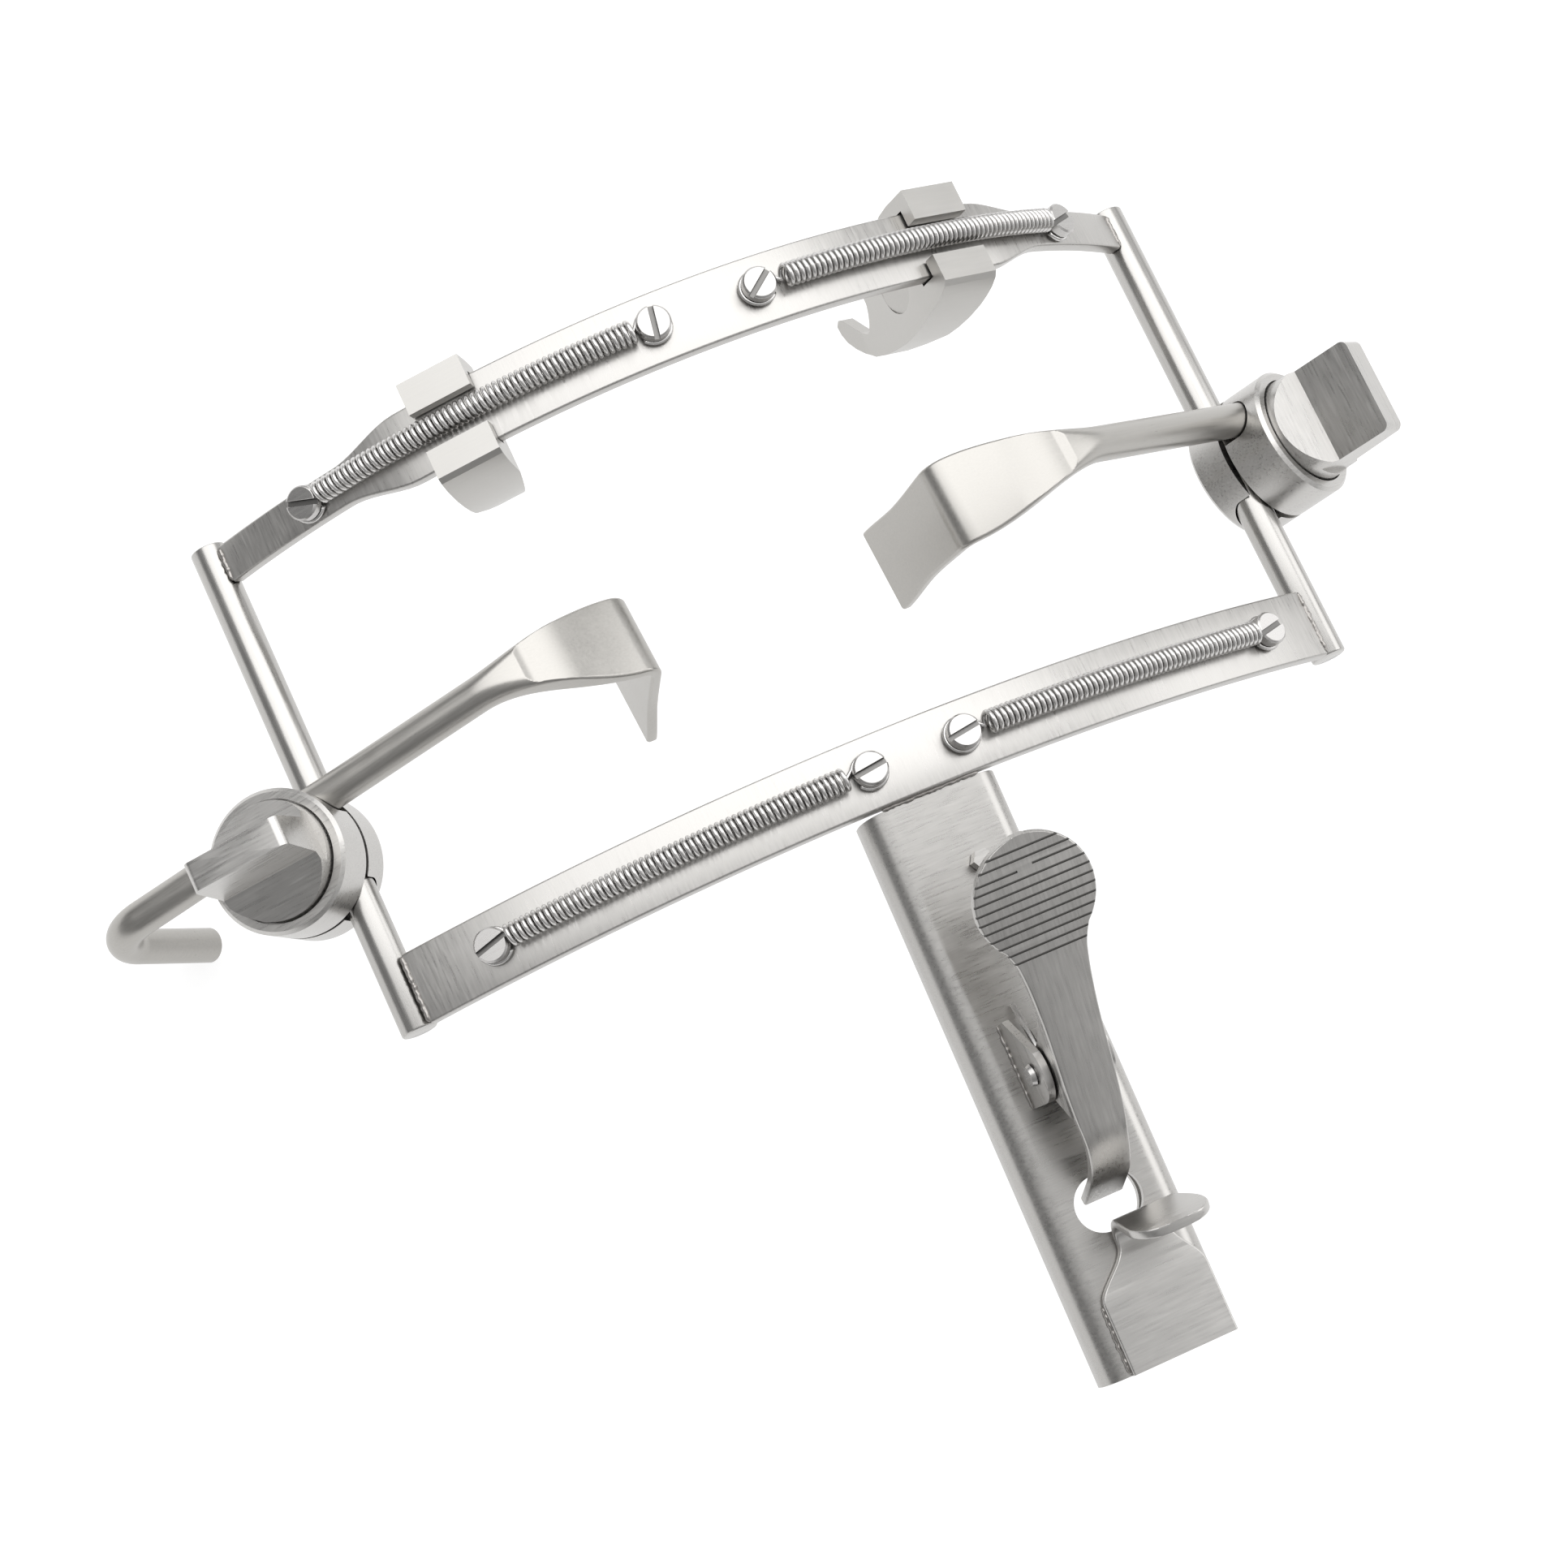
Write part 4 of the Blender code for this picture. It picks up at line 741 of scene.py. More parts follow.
# Arched bars
def make_bar(name, arc, radius, neck_width, screws):
    """A flat bar bent about its axis, its ends butted against the rods, with a hole for each screw."""
    rod_reach = hypot(ROD_SPACING / 2, arc.location.z)
    rod_angle = atan2(ROD_SPACING / 2, -arc.location.z)
    half_turn = rod_angle - asin((ROD_RADIUS + TOUCH_GAP) / rod_reach)
    middle = radius - BAR_THICKNESS / 2
    length = 2 * half_turn * middle
    line = bent_line((-middle * sin(half_turn), -middle * cos(half_turn)), -half_turn,
                     [(length, 2 * half_turn)])
    table = [(0, BAR_WIDTH / 2), (NECK_START, BAR_WIDTH / 2), (NECK_START + NECK_RUN, neck_width / 2)]

    def section(distance):
        return ease(abs(distance - length / 2), table), BAR_THICKNESS / 2, BAR_EDGE, 0, BAR_THICKNESS

    bar = loft(name, line, spread(0, (length, 120)), section, ACROSS, -OUT, arc, 6, "bar")
    for number, across in enumerate(screws):
        angle = degrees(asin(across / radius))
        hole = round_bar(
            f"{name}_screw_hole_{number}", SCREW_SHANK_RADIUS + RUNNING_GAP, radius - 2 * BAR_THICKNESS,
            radius + BAR_THICKNESS, arc, 32, turn=(0, angle, 0),
        )
        cut(bar, hole)
    for side, hand in (("left", -1), ("right", 1)):
        angle = hand * (half_turn + BAR_WELD_OUT / radius)
        half = neck_width / 2 - BAR_WELD_INSET
        for face, far in (("front", radius - WELD_SINK), ("back", radius - BAR_THICKNESS + WELD_SINK)):
            ends = [(far * sin(angle), y, far * cos(angle)) for y in (-half, half)]
            weld(f"{name}_{side}_{face}_weld", arc, ends, BAR_WELD)


make_bar("upper_bar", UPPER_ARC, UPPER_RADIUS, NECK_WIDTH, UPPER_SCREWS)
make_bar("lower_bar", LOWER_ARC, LOWER_RADIUS, BAR_WIDTH, LOWER_SCREWS)


# Screws and suture springs
def make_screw(name, arc, radius, across, slot_turn):
    """A slotted cheese-head screw through the bar, its head clear of the spring's end wire."""
    under = radius + SCREW_HEAD_UNDER
    top = under + SCREW_HEAD_HEIGHT
    edge = SCREW_HEAD_EDGE
    angle = degrees(asin(across / radius))
    end = radius - BAR_THICKNESS
    profile = [
        (0, end), (SCREW_SHANK_RADIUS, end), (SCREW_SHANK_RADIUS, under), (SCREW_HEAD_RADIUS, under),
        (SCREW_HEAD_RADIUS, top - edge), (SCREW_HEAD_RADIUS - edge, top), (0, top),
    ]
    screw = turned(name, profile, arc, 48, "screw", turn=(0, angle, 0))
    slot = block(
        name + "_slot", (-SCREW_HEAD_RADIUS * 2, -SCREW_SLOT_WIDTH / 2, top - SCREW_SLOT_DEPTH),
        (SCREW_HEAD_RADIUS * 2, SCREW_SLOT_WIDTH / 2, top + SCREW_SLOT_DEPTH), frame_at(
            name + "_frame", arc, (0, 0, 0), (0, angle, 0)), turn=(0, 0, slot_turn),
    )
    # the slot's faces take the dark cut finish, which is painted shade in the slot
    cut(screw, slot, "cut")
    chamfer(screw, SCREW_EDGE, 1, 40)


def make_spring(name, arc, radius, start_across, end_across, start_gap, end_gap):
    """A close-wound spring along the bar, with an end eye round each screw's shank."""
    start = asin(start_across / radius)
    end = asin(end_across / radius)
    coil_start = start + start_gap * MM / radius
    coil_run = end - end_gap * MM / radius - coil_start
    turns = round(coil_run * radius / SPRING_PITCH)
    flat = SPRING_WIRE + TOUCH_GAP

    def on_bar(angle, sideways, height):
        far = radius + height
        return (far * sin(angle), sideways, far * cos(angle))

    def end_eye(screw_angle, towards):
        """Points of the eye, from its free end to where it leaves for the coil."""
        found = []
        for step in range(EYE_POINTS):
            turn = radians(EYE_START - step * EYE_STEP)
            along = screw_angle + towards * SPRING_EYE_RADIUS * cos(turn) / radius
            found.append(on_bar(along, SPRING_EYE_RADIUS * sin(turn), flat))
        return found

    points = end_eye(start, 1)
    for step in range(turns * SPRING_TURN_POINTS + 1):
        share = step / (turns * SPRING_TURN_POINTS)
        turn = 2 * pi * step / SPRING_TURN_POINTS
        angle = coil_start + coil_run * share
        height = COIL_HEIGHT - COIL_RADIUS * cos(turn)
        points.append(on_bar(angle, COIL_RADIUS * sin(turn), height))
    points += end_eye(end, -1)[::-1]
    wire(name, points, SPRING_WIRE, arc, 2, "wire")


# From each screw's middle to the first full coil, in millimetres, from left to right
SPRING_GAPS = {"upper": (3.0, 3.5, 4.4, 4.0), "lower": (3.0, 4.2, 4.2, 3.6)}
BARS = (("upper", UPPER_ARC, UPPER_RADIUS, UPPER_SCREWS), ("lower", LOWER_ARC, LOWER_RADIUS, LOWER_SCREWS))
SCREW_PLACES = ("left_outer", "left_inner", "right_inner", "right_outer")
for bar_number, (level, arc, radius, screws) in enumerate(BARS):
    for number, (where, across) in enumerate(zip(SCREW_PLACES, screws)):
        make_screw(f"{level}_{where}_screw", arc, radius, across, SCREW_SLOT_TURNS[4 * bar_number + number])
    gaps = SPRING_GAPS[level]
    make_spring(f"{level}_left_spring", arc, radius, screws[0], screws[1], *gaps[:2])
    make_spring(f"{level}_right_spring", arc, radius, screws[2], screws[3], *gaps[2:])


# Tooth hooks
def arc_points(centre, radius, start, end, count):
    """Points on a circle, angles in degrees."""
    angles = [radians(start + (end - start) * step / count) for step in range(count + 1)]
    return [(centre[0] + radius * cos(a), centre[1] + radius * sin(a)) for a in angles]


def in_mm(points):
    return [(x * MM, y * MM) for x, y in points]


def hook_outline():
    """The side view of a tooth hook: x is the distance in front of the bar, y is up the frame."""
    half = BAR_WIDTH / 2 + RUNNING_GAP
    front = TOUCH_GAP
    back = -BAR_THICKNESS - TOUCH_GAP
    lip_half = HOOK_LIP_GAP / 2
    top = BAR_WIDTH / 2 + HOOK_TOP_HEIGHT
    shoulder = TOUCH_GAP
    outline = [(HOOK_LIP, HOOK_FOOT * MM)] + in_mm(HOOK_UNDERSIDE + HOOK_CLAW + HOOK_HEEL)
    outline += [(back - HOOK_BACK, top - shoulder), (back + shoulder, top), (HOOK_LIP, top)]
    outline += [(HOOK_LIP, lip_half), (front, lip_half), (front, half), (back, half)]
    return outline + [(back, -half), (front, -half), (front, -lip_half), (HOOK_LIP, -lip_half)]


def make_tooth_hook(name, side):
    """A hook that slides along the upper bar. It narrows with depth to its claw."""
    carrier = frame_at(name + "_carrier", UPPER_ARC, (0, 0, 0), (0, side * HOOK_ANGLE, 0))
    half = HOOK_WIDTH / 2
    far = 3 * HOOK_DEPTH
    on_bar = {"location": (0, 0, UPPER_RADIUS)}
    hook = plate(name, [hook_outline()], -half, half, carrier, "milled", turn=(0, -90, 0), **on_bar)
    inner_end = half - HOOK_INNER_SLOPE * (HOOK_DEPTH - HOOK_SLOPE_START)
    inner_cut = [(-side * (half + TOUCH_GAP), -HOOK_SLOPE_START), (-side * inner_end, -HOOK_DEPTH),
                 (-side * inner_end, -far), (-side * far, -far), (-side * far, -HOOK_SLOPE_START)]
    outer_end = CLAW_WIDTH - inner_end
    outer_cut = [(side * (half + TOUCH_GAP), -HOOK_DEPTH / 2), (side * outer_end, -HOOK_DEPTH),
                 (side * outer_end, -far), (side * far, -far), (side * far, -HOOK_DEPTH / 2)]
    for label, outline in (("inner", inner_cut), ("outer", outer_cut)):
        cut(hook, plate(f"{name}_{label}_cut", [outline], -far, far, carrier, turn=(90, 0, 0), **on_bar))

    depth, height = HOOK_DISH_AT
    surface = half - HOOK_INNER_SLOPE * (-depth - HOOK_SLOPE_START)
    cut(hook, round_bar(
        name + "_dish", HOOK_DISH_RADIUS, surface - HOOK_DISH_DEPTH, far, carrier, 24,
        location=(0, height, UPPER_RADIUS + depth), turn=(0, -90 * side, 0),
    ))
    chamfer(hook, HOOK_CHAMFER, 1, 40)


make_tooth_hook("left_tooth_hook", -1)
make_tooth_hook("right_tooth_hook", 1)


# Rod clamps, wing knobs and cheek retractors
def make_clamp(label, side, clamp_y, clamp_turn, slope, out, spin, hook_turn, wing_turn):
    """One clamp: two jaws on a bolt, the knob that closes them, and the retractor that they hold."""
    turn = radians(clamp_turn)
    bolt_out = side * BOLT_TO_ROD
    bolt_at = (side * ROD_SPACING / 2 + bolt_out * cos(turn), clamp_y, -bolt_out * sin(turn))
    clamp = frame_at(f"{label}_clamp_bolt_axis", GAG, bolt_at, (0, clamp_turn, 0))
    jaw = frame_at(f"{label}_front_jaw_frame", clamp, (0, 0, 0), (0, 0, slope))
    head_seat = BACK_JAW_REAR + BOLT_HEAD_HEIGHT + TOUCH_GAP
    hole_radius = BOLT_RADIUS + RUNNING_GAP

    back = turned(f"{label}_back_jaw", [
        (0, BACK_JAW_REAR), (JAW_RADIUS - JAW_CHAMFER, BACK_JAW_REAR),
        (JAW_RADIUS, BACK_JAW_REAR + JAW_CHAMFER), (JAW_RADIUS, BACK_JAW_FRONT), (0, BACK_JAW_FRONT)],
        clamp, 96, "turned")
    rod_groove = ROD_RADIUS + RUNNING_GAP
    far = 2 * JAW_RADIUS
    groove = [(-rod_groove, far)] + arc_points((0, 0), rod_groove, 180, 360, 32) + [(rod_groove, far)]
    cut(back, plate(f"{label}_rod_groove", [groove], -far, far, clamp, location=(-bolt_out, 0, 0),
                    turn=(90, 0, 0)))
    cut(back, round_bar(f"{label}_back_bolt_hole", hole_radius, -far, far, clamp, 24))
    seat_radius = BOLT_HEAD_RADIUS + RUNNING_GAP
    cut(back, round_bar(f"{label}_bolt_head_seat", seat_radius, -far, head_seat, clamp, 24))

    thread_top = KNOB_REAR + KNOB_THREAD_DEPTH
    turned(f"{label}_clamp_bolt", [
        (0, BACK_JAW_REAR), (BOLT_HEAD_RADIUS, BACK_JAW_REAR), (BOLT_HEAD_RADIUS, head_seat - TOUCH_GAP),
        (BOLT_RADIUS, head_seat - TOUCH_GAP), (BOLT_RADIUS, thread_top - 2 * TOUCH_GAP),
        (BOLT_RADIUS - TOUCH_GAP, thread_top - TOUCH_GAP), (0, thread_top - TOUCH_GAP)], clamp, 48, "screw")

    front = turned(f"{label}_front_jaw", [
        (0, FRONT_JAW_REAR), (JAW_RADIUS, FRONT_JAW_REAR), (JAW_RADIUS, FRONT_JAW_FRONT - JAW_CHAMFER),
        (JAW_RADIUS - JAW_CHAMFER, FRONT_JAW_FRONT), (KNOB_RADIUS + TOUCH_GAP, FRONT_JAW_FRONT),
        (KNOB_RADIUS + TOUCH_GAP, FRONT_JAW_FRONT - RECESS_DEPTH), (0, FRONT_JAW_FRONT - RECESS_DEPTH)],
        jaw, 96, "turned")
    grip = RETRACTOR_RADIUS + RUNNING_GAP
    channel = arc_points((0, RETRACTOR_HEIGHT), grip, 0, 180, 16) + [(-grip, -far), (grip, -far)]
    cut(front, plate(f"{label}_retractor_groove", [channel], -far, far, jaw,
                     location=(0, BOLT_TO_RETRACTOR, 0), turn=(90, 0, 90)))
    cut(front, round_bar(f"{label}_front_bolt_hole", hole_radius, 0, far, jaw, 24))

    make_wing_knob(f"{label}_wing_knob", clamp, wing_turn)
    make_retractor(f"{label}_cheek_retractor", jaw, side, out, spin, hook_turn)


def make_wing_knob(name, clamp, wing_turn):
    """A disc with a wing: the turned blank is milled down on both sides and at the wing's ends."""
    far = 3 * KNOB_RADIUS
    edge = KNOB_REAR_EDGE
    rim_top = KNOB_REAR + KNOB_RIM
    ridge = rim_top + KNOB_RIDGE_RISE
    wing_top = KNOB_REAR + WING_TOP_RISE
    blank = [(0, KNOB_REAR), (KNOB_RADIUS - edge, KNOB_REAR), (KNOB_RADIUS, KNOB_REAR + edge),
             (KNOB_RADIUS, wing_top), (0, wing_top)]
    knob = turned(name, blank, clamp, 96, "turned", turn=(0, 0, wing_turn))
    frame = frame_at(name + "_frame", clamp, (0, 0, 0), (0, 0, wing_turn))
    for label, hand in (("left", -1), ("right", 1)):
        flank = [(far, rim_top), (KNOB_RADIUS, rim_top), (WING_HALF_ROOT, ridge), (WING_HALF_TOP, wing_top),
                 (WING_HALF_TOP, wing_top + far), (far, wing_top + far)]
        flank = [(hand * x, y) for x, y in flank]
        cut(knob, plate(f"{name}_{label}_flank", [flank], -far, far, frame, turn=(90, 0, 90)))
        foot = rim_top + WING_FOOT
        corner = (WING_LENGTH / 2 - WING_ROUND, wing_top - WING_ROUND)
        outline = [(far, foot), (WING_LENGTH / 2, foot)] + arc_points(corner, WING_ROUND, 0, 90, 8)
        outline += [(corner[0], wing_top + far), (far, wing_top + far)]
        outline = [(hand * x, y) for x, y in outline]
        cut(knob, plate(f"{name}_{label}_end", [outline], -far, far, frame, turn=(90, 0, 0)))
    thread_end = KNOB_REAR + KNOB_THREAD_DEPTH
    cut(knob, round_bar(name + "_thread", BOLT_RADIUS + RUNNING_GAP, -far, thread_end, clamp, 24))
    chamfer(knob, KNOB_EDGE, 1, 25)


def make_retractor(name, jaw, side, out, spin, hook_degrees):
    """A round rod, hooked at its outer end and flattened at its inner end into a flared, twice-bent blade."""
    on_jaw = (0, BOLT_TO_RETRACTOR, RETRACTOR_HEIGHT)
    facing = frame_at(name + "_rod_axis", jaw, on_jaw, (0, 0, 90 + 90 * side))
    hook_turn = radians(hook_degrees)
    bend = radians(RETRACTOR_TURN)
    blade_turn = radians(BLADE_TURN)
    runs = [
        (RETRACTOR_HOOK_ARM, 0), (RETRACTOR_HOOK_BEND * hook_turn, hook_turn), (RETRACTOR_STRAIGHT, 0),
        (RETRACTOR_BEND * bend, bend), (BLADE_RUN, 0), (BLADE_BEND * blade_turn, blade_turn),
        (BLADE_TIP, 0),
    ]
    arm_end, hook_end, flare, bend_end, turn_start, turn_end, tip = [
        sum(length for length, _ in runs[:count + 1]) for count in range(len(runs))]
    first = -out - RETRACTOR_HOOK_BEND * sin(hook_turn) - RETRACTOR_HOOK_ARM * cos(hook_turn)
    second = RETRACTOR_HOOK_BEND * (1 - cos(hook_turn)) + RETRACTOR_HOOK_ARM * sin(hook_turn)
    line = bent_line((first, second), -hook_turn, runs)
    full = RETRACTOR_RADIUS
    thin = BLADE_THICKNESS / 2
    widths = [(flare, full), (turn_start, BLADE_HALF_WIDTH), (turn_end + BLADE_TIP / 2, BLADE_WAIST),
              (tip, BLADE_HALF_WIDTH)]
    thins = [(flare, full), (turn_start, thin)]
    face_at = flare + FACE_AFTER
    faces = [(face_at, full), (face_at + FACE_RUN, FACE_START), (turn_start, thin)]
    corners = [(flare, full), (bend_end, BLADE_EDGE)]

    def section(distance):
        if distance < ROD_END_ROUND:
            return full - ROD_END_ROUND, full - ROD_END_ROUND, full - ROD_END_ROUND, 0, full
        half = ease(distance, thins)
        return ease(distance, widths), half, min(half, ease(distance, corners)), 0, ease(distance, faces)

    stops = spread(0, (ROD_END_ROUND, 4), (arm_end, 2), (hook_end, 40), (flare, 4), (face_at, 10),
                   (face_at + FACE_RUN, 24), (bend_end, 20), (turn_start, 16), (turn_end, 20), (tip, 20))
    loft(name, line, stops, section, ACROSS, -OUT, facing, 12, "forged", turn=(spin, 0, 0))


for label, settings in CLAMPS.items():
    make_clamp(label, *settings)


# Handle tube
def rounded_outline(width, height, corner, centre=(0, 0), count=6):
    """A rectangle with round corners, drawn as points."""
    points = []
    for quarter, (x_side, y_side) in enumerate(((1, 1), (-1, 1), (-1, -1), (1, -1))):
        middle = (centre[0] + x_side * (width / 2 - corner), centre[1] + y_side * (height / 2 - corner))
        points += arc_points(middle, corner, 90 * quarter, 90 * quarter + 90, count)
    return points


def make_handle():
    """The rectangular channel that a tongue blade's shank slides in, open at its lower end."""
    middle = (0, -HANDLE_DEPTH / 2)
    inner_corner = HANDLE_CORNER - HANDLE_WALL
    outer = rounded_outline(HANDLE_WIDTH, HANDLE_DEPTH, HANDLE_CORNER, middle, 20)
    inner_size = (HANDLE_WIDTH - 2 * HANDLE_WALL, HANDLE_DEPTH - 2 * HANDLE_WALL)
    inner = rounded_outline(*inner_size, inner_corner, middle, 20)
    above = 3 * MM
    tube = plate("handle_tube", [outer, inner], -above, HANDLE_LENGTH, HANDLE, "tube", turn=(90, 0, 0))
    far = 2 * HANDLE_WIDTH
    top = BAR_UNDERSIDE_Y - TOUCH_GAP
    cut(tube, block("handle_top_cut", (HANDLE_X - far, top, HANDLE_FRONT_Z - far),
                    (HANDLE_X + far, top + far, HANDLE_FRONT_Z + far), GAG))
    holes = ((CATCH_HOLE_WIDTH, CATCH_HOLE_LENGTH), (BACK_HOLE_WIDTH, BACK_HOLE_LENGTH))
    front_hole, back_hole = [
        rounded_outline(width, length, length / 2 - 0.01 * MM, (0, 0), 16) for width, length in holes]
    at = {"location": (0, -CATCH_HOLE_DOWN, 0)}
    cut(tube, plate("catch_hole", [front_hole], -HANDLE_DEPTH / 2, HANDLE_DEPTH, HANDLE, **at))
    cut(tube, plate("back_hole", [back_hole], -2 * HANDLE_DEPTH, -HANDLE_DEPTH / 2, HANDLE, **at))
    cut(tube, round_bar("stop_screw_hole", STOP_RADIUS + RUNNING_GAP, -2 * HANDLE_WALL, HANDLE_WALL, HANDLE,
                        16, location=(STOP_X, -STOP_DOWN, 0)))
    chamfer(tube, TUBE_EDGE, 1, 50)
    half = HANDLE_WIDTH / 2 - HANDLE_CORNER + 1 * MM
    ends = [(x, -WELD_SINK, WELD_SINK) for x in (-half, half)]
    weld("handle_top_weld", HANDLE, ends, HANDLE_TOP_WELD)
    foot = TAB_FOOT_SHIFT - TAB_FOOT_WIDTH / 2
    ends = [(foot, -HANDLE_LENGTH + run, 0.3 * MM) for run in (0.4 * MM, TAB_FOOT_RUN)]
    weld("end_tab_weld", HANDLE, ends, TAB_WELD)


def make_end_tab():
    """A plate along the handle's front at its open end, narrowed to a neck and bent out into a finger tab."""
    turn = radians(TAB_TURN)
    middle = TOUCH_GAP + TAB_THICKNESS / 2
    bend = (TAB_BEND + TAB_THICKNESS / 2) * turn
    bend_end = TAB_NECK_RUN + bend
    end = bend_end + TAB_REACH
    round_start = end - TAB_END_ROUND
    line = bent_line((-HANDLE_LENGTH, -middle), 0, [(TAB_NECK_RUN, 0), (bend, -turn), (TAB_REACH, 0)])
    half_end = TAB_END_WIDTH / 2
    flared = bend_end + TAB_REACH / 2
    widths = [(TAB_FOOT_RUN, TAB_FOOT_WIDTH / 2), (TAB_NECK_RUN, TAB_NECK_WIDTH / 2), (flared, half_end)]
    shifts = [(TAB_FOOT_RUN, TAB_FOOT_SHIFT), (TAB_NECK_RUN, TAB_NECK_SHIFT), (flared, TAB_END_SHIFT)]

    def section(distance):
        past = max(0, distance - round_start) / TAB_END_ROUND
        rounding = TAB_END_ROUND * (1 - sqrt(max(0, 1 - past * past)))
        return (ease(distance, widths) - rounding, TAB_THICKNESS / 2, SHEET_EDGE, -ease(distance, shifts),
                TAB_THICKNESS)

    stops = spread(0, (TAB_FOOT_RUN, 4), (TAB_NECK_RUN, 16), (bend_end, 20), (round_start, 8), (end, 16))
    loft("end_tab_plate", line, stops, section, UP, -OUT, HANDLE, 6, "sheet")


make_handle()
make_end_tab()


# Catch lever, its pin, ears and spring
def make_lever():
    """A thumb pad, a strip on two cheeks at the pin, and a tip that drops through the handle's hole."""
    turn = radians(CATCH_TURN)
    half = LEVER_THICKNESS / 2
    straight = PAD_END - CATCH_BEND_AT
    bend = CATCH_BEND * turn
    line = bent_line((-PAD_END, -LEVER_RISE), 0, [(straight, 0), (bend, turn), (CATCH_TIP, 0)])
    shoulder = PAD_SHOULDER
    shoulder_width = sqrt(PAD_RADIUS ** 2 - shoulder ** 2)
    waist = PAD_END - WAIST_AT
    widths = [(PAD_RADIUS + shoulder - 1 * MM, shoulder_width + 0.86 * MM),
              (PAD_RADIUS + shoulder, shoulder_width), (waist, WAIST_WIDTH / 2),
              (PAD_END - 10 * MM, CHEEK_WIDTH / 2 + 0.3 * MM),
              (PAD_END, CHEEK_WIDTH / 2), (PAD_END + 6 * MM, CHEEK_WIDTH / 2 - 0.3 * MM),
              (PAD_END + 12 * MM, STRIP_WIDTH / 2 + 0.1 * MM), (PAD_END + 20 * MM, STRIP_WIDTH / 2)]

    def section(distance):
        off = distance - PAD_RADIUS
        if off < shoulder:
            return sqrt(max(PAD_RADIUS ** 2 - off ** 2, PAD_END_HALF ** 2)), half, SHEET_EDGE, 0, half
        return flowing(distance, widths), half, SHEET_EDGE, 0, half

    stops = spread(0, (0.3 * MM, 3), (1.2 * MM, 4), (4 * MM, 8), (PAD_RADIUS + shoulder, 30),
                   (waist, 10), (PAD_END - 10 * MM, 12), (PAD_END + 6 * MM, 6), (straight, 6),
                   (straight + bend, 24), (straight + bend + CATCH_TIP, 4))
    lever = loft("catch_lever", line, stops, section, -UP, -OUT, LEVER, 6, "lever")

    under = LEVER_RISE - half
    sunk = under + 0.4 * MM
    cheek = [(-CHEEK_HEEL, sunk)] + arc_points((0, 0), CHEEK_LOBE, *CHEEK_LOBE_ARC, 10)
    cheek += [CHEEK_THROAT, (CHEEK_SHOULDER, under - CHEEK_SHOULDER_DROP), (CHEEK_TOE, sunk)]
    for label, hand in (("left", -1), ("right", 1)):
        low, high = sorted((hand * CHEEK_WIDTH / 2, hand * (CHEEK_WIDTH / 2 - CHEEK_THICKNESS)))
        join(lever, plate(f"lever_{label}_cheek", [cheek], low, high, LEVER, turn=(90, 0, 90)))
    cut(lever, round_bar("lever_pin_hole", PIN_RADIUS + RUNNING_GAP, -CHEEK_WIDTH, CHEEK_WIDTH, LEVER, 16,
                         turn=(0, 90, 0)))
    top = LEVER_RISE + half
    for number in range(PAD_GROOVES):
        at = PAD_END - PAD_GROOVE_MARGIN - (number + 0.5) * PAD_GROOVE_PITCH
        strokes = [(-2 * PAD_RADIUS, 2 * PAD_RADIUS, 0)]
        if number == BROKEN_GROOVE:
            strokes = [(-2 * PAD_RADIUS, -1.7 * MM, -0.2 * MM), (0.9 * MM, 2 * PAD_RADIUS, 0.2 * MM)]
        for stroke, (left, right, shift) in enumerate(strokes):
            # the grooves' faces take the dark cut finish, which is painted shade in the grooves
            cut(lever, block(
                f"pad_groove_{number}_{stroke}",
                (left, at + shift - PAD_GROOVE_WIDTH / 2, top - PAD_GROOVE_DEPTH),
                (right, at + shift + PAD_GROOVE_WIDTH / 2, top + PAD_GROOVE_DEPTH), LEVER), "cut")


def make_ear(name, hand):
    """One of the two ears on the handle that hold the lever's pin."""
    base = TOUCH_GAP - PIN_HEIGHT
    outline = [(-EAR_ROUND, base), (EAR_TOE, base), (EAR_TOE + EAR_TOE_LEAN, base + EAR_TOE_HEIGHT)]
    outline += arc_points((0, 0), EAR_ROUND, *EAR_ARC, 30)
    low, high = sorted((hand * EAR_GAP / 2, hand * (EAR_GAP / 2 + EAR_THICKNESS)))
    ear = plate(name, [outline], low, high, HANDLE, "sheet", turn=(90, 0, 90), location=PIN_PLACE)
    cut(ear, round_bar(name + "_hole", PIN_RADIUS + RUNNING_GAP, -EAR_GAP, EAR_GAP, HANDLE, 16,
                       turn=(0, 90, 0), location=PIN_PLACE))
    chamfer(ear, EAR_EDGE, 1, 40)
    outer = LEVER_X + hand * (EAR_GAP / 2 + EAR_THICKNESS + WELD_SINK)
    ends = [(outer, -PIN_DOWN + y, WELD_SINK) for y in (-EAR_ROUND, EAR_TOE)]
    weld(name + "_weld", HANDLE, ends, EAR_WELD)


def make_pin():
    """The lever's pin, with a low head outside each ear."""
    reach = EAR_GAP / 2 + EAR_THICKNESS + TOUCH_GAP
    head = PIN_HEAD_HEIGHT
    edge = PIN_HEAD_RADIUS - PIN_HEAD_EDGE
    turned("lever_pin", [
        (0, -reach - head), (edge, -reach - head), (PIN_HEAD_RADIUS, -reach), (PIN_RADIUS, -reach),
        (PIN_RADIUS, reach), (PIN_HEAD_RADIUS, reach), (edge, reach + head), (0, reach + head)],
        HANDLE, 48, "screw", location=PIN_PLACE, turn=(0, 90, 0))


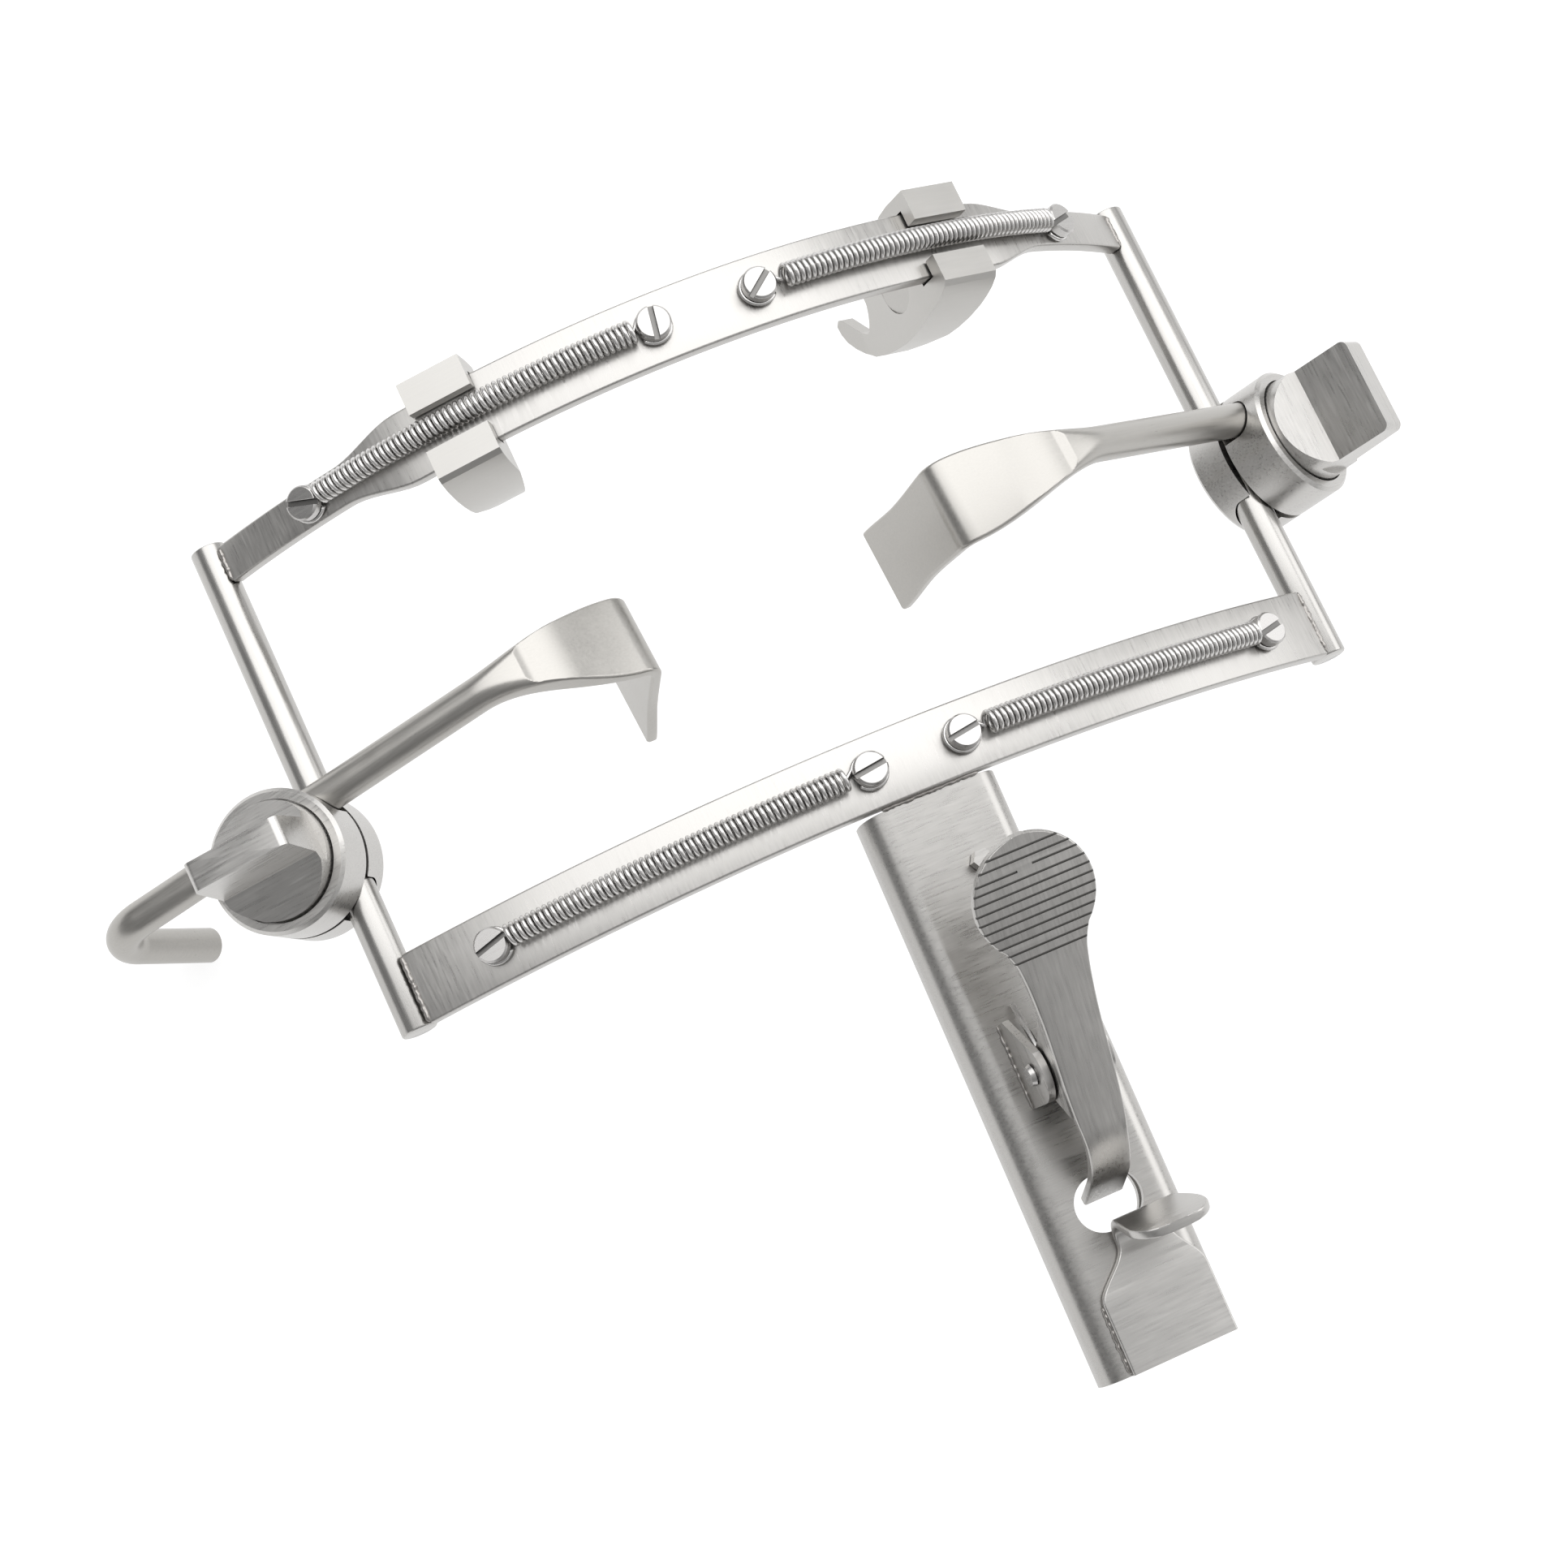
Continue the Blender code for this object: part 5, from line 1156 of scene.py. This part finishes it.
def make_lever_spring():
    """A torsion spring round the pin: one leg on the handle, the other under the strip."""
    room = CHEEK_WIDTH / 2 - CHEEK_THICKNESS - TOUCH_GAP - LEVER_SPRING_WIRE
    total = LEVER_SPRING_TURNS * LEVER_SPRING_STEPS + LEVER_SPRING_STEPS // 2
    tilt = radians(LEVER_TILT)
    rest = TOUCH_GAP + LEVER_SPRING_WIRE
    points = [(-room, TUBE_LEG_REACH, rest - PIN_HEIGHT)]
    for step in range(total + 1):
        turn = 2 * pi * step / LEVER_SPRING_STEPS
        points.append((-room + 2 * room * step / total, LEVER_SPRING_RADIUS * sin(turn),
                       -LEVER_SPRING_RADIUS * cos(turn)))
    push = LEVER_RISE - LEVER_THICKNESS / 2 - TOUCH_GAP - LEVER_SPRING_WIRE
    points.append((room, LEVER_LEG_REACH * cos(tilt) - push * sin(tilt),
                   LEVER_LEG_REACH * sin(tilt) + push * cos(tilt)))
    wire("lever_spring", points, LEVER_SPRING_WIRE, HANDLE, 3, "wire",
         location=PIN_PLACE)


def make_stop_screw():
    """A hexagon-head screw whose end stands in the channel."""
    at = {"location": (STOP_X, -STOP_DOWN, 0)}
    under = TOUCH_GAP + STOP_HEAD_HEIGHT / 2
    end = -HANDLE_WALL - STOP_REACH
    shank = [(0, end), (STOP_RADIUS, end), (STOP_RADIUS, under), (0, under)]
    screw = turned("stop_screw", shank, HANDLE, 48, "turned", **at)
    head = [(0, TOUCH_GAP), (STOP_HEAD_RADIUS, TOUCH_GAP), (STOP_HEAD_RADIUS, TOUCH_GAP + STOP_HEAD_HEIGHT),
            (0, TOUCH_GAP + STOP_HEAD_HEIGHT)]
    join(screw, turned("stop_screw_head", head, HANDLE, 6, **at))


make_lever()
make_ear("left_lever_ear", -1)
make_ear("right_lever_ear", 1)
make_pin()
make_lever_spring()
make_stop_screw()


def finish_pieces():
    """Fixes each drawn piece's shape, smooths it and sets it to ride with its body for its CAD node."""
    bpy.context.view_layer.update()
    graph = bpy.context.evaluated_depsgraph_get()
    drawn = [item for item in PIECES.objects if item.type == "MESH"]
    shapes = [(item.name, item.matrix_world.copy(),
               bpy.data.meshes.new_from_object(item.evaluated_get(graph))) for item in drawn]
    for item in list(PIECES.objects) + list(CUTTERS.objects):
        bpy.data.objects.remove(item)
    for name, world, mesh in shapes:
        own = [value for vertex in mesh.vertices for value in vertex.co]
        mesh.attributes.new(GRAIN, "FLOAT_VECTOR", "POINT").data.foreach_set("vector", own)
        mesh.transform(world)
        piece = bpy.data.objects.new(name, mesh)
        bpy.context.scene.collection.objects.link(piece)
        soft = "spring" in name or "weld" in name
        shade_smooth(piece, SOFT_ANGLE if soft else CRISP_ANGLE)
        node = name.removeprefix("fine_")
        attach(piece, BODY_OF.get(node, "frame"))
        if node in BODY_OF:
            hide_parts(node)
    for collection in (PIECES, CUTTERS):
        bpy.data.collections.remove(collection)


finish_pieces()


# Studio
FLOOR_REACH = 12
FLOOR_GAP = 1 * MM
FLOOR_COLOUR = (0.32, 0.32, 0.32, 1)
FLOOR_LIFT = 0.80
WORLD_STRENGTH = (0.32, 0.95)
PANELS = {
    "overhead_panel": ((-0.02, 0.52, 0.52), (-0.02, 0.50, 0), (0.98, 0.84), 1.6),
    "right_panel": ((0.80, 0.05, 0.42), (0, 0.08, 0), (0.7, 0.5), 1.35),
}
WORLD_LIGHT_FROM = (0.55, 0.20, 0.81)


def make_floor(height):
    """A pale floor that shows white to the camera and to the steel, and keeps the shadow."""
    shape = bmesh.new()
    sides = ((-1, -1), (1, -1), (1, 1), (-1, 1))
    corners = [shape.verts.new((x * FLOOR_REACH, y * FLOOR_REACH, height)) for x, y in sides]
    shape.faces.new(corners)
    floor = mesh_object("studio_floor", shape)
    bpy.context.scene.collection.objects.link(floor)
    material = bpy.data.materials.new("floor_white")
    material.use_nodes = True
    tree = material.node_tree
    shader = tree.nodes["Principled BSDF"]
    shader.inputs["Base Color"].default_value = FLOOR_COLOUR
    shader.inputs["Roughness"].default_value = 0.9
    shader.inputs["Emission Color"].default_value = (1, 1, 1, 1)
    path = tree.nodes.new("ShaderNodeLightPath")
    seen = path.outputs["Is Camera Ray"]
    for ray in ("Is Glossy Ray", "Is Transmission Ray"):
        seen = add_node(tree, "Math", {0: seen, 1: path.outputs[ray]}, operation="MAXIMUM").outputs[0]
    lift = add_node(tree, "Math", {0: seen, 1: FLOOR_LIFT}, operation="MULTIPLY").outputs[0]
    tree.links.new(lift, shader.inputs["Emission Strength"])
    floor.data.materials.append(material)


def make_world():
    """Dim light from all round, a little stronger from above and from the right."""
    world = bpy.data.worlds.new("studio")
    bpy.context.scene.world = world
    world.use_nodes = True
    tree = world.node_tree
    where = tree.nodes.new("ShaderNodeTexCoord")
    towards = add_node(tree, "VectorMath", {0: where.outputs["Generated"], 1: WORLD_LIGHT_FROM},
                       operation="DOT_PRODUCT")
    background = tree.nodes["Background"]
    background.inputs["Color"].default_value = (1, 1, 1, 1)
    strength = spread_range(tree, towards.outputs["Value"], 0, 1, *WORLD_STRENGTH)
    tree.links.new(strength, background.inputs["Strength"])


def add_panel(name, place_at, aim, size, radiance):
    """A soft rectangular lamp at a place, aimed at a point, with its width and depth and its radiance."""
    light = bpy.data.lights.new(name, "AREA")
    light.shape = "RECTANGLE"
    light.size, light.size_y = size
    light.energy = radiance * pi * size[0] * size[1]
    lamp = bpy.data.objects.new(name, light)
    bpy.context.scene.collection.objects.link(lamp)
    lamp.location = place_at
    lamp.rotation_euler = (Vector(aim) - Vector(place_at)).to_track_quat("-Z", "Y").to_euler()


def make_camera():
    camera = bpy.data.cameras.new("camera")
    camera.sensor_width = 36
    camera.lens = CAMERA_LENS
    camera.clip_start, camera.clip_end = 0.01, 20
    item = bpy.data.objects.new("camera", camera)
    bpy.context.scene.collection.objects.link(item)
    turn = Matrix.Rotation(CAMERA_TURN_Y, 4, "Y") @ Matrix.Rotation(CAMERA_TURN_X, 4, "X")
    item.matrix_world = Matrix.Translation(CAMERA_EYE) @ turn @ Matrix.Rotation(CAMERA_TURN_Z, 4, "Z")
    bpy.context.scene.camera = item


make_floor(CAD_BOX[0].z - FLOOR_GAP)
make_world()
for panel, settings in PANELS.items():
    add_panel(panel, *settings)
make_camera()
bpy.context.scene.view_settings.view_transform = "Standard"
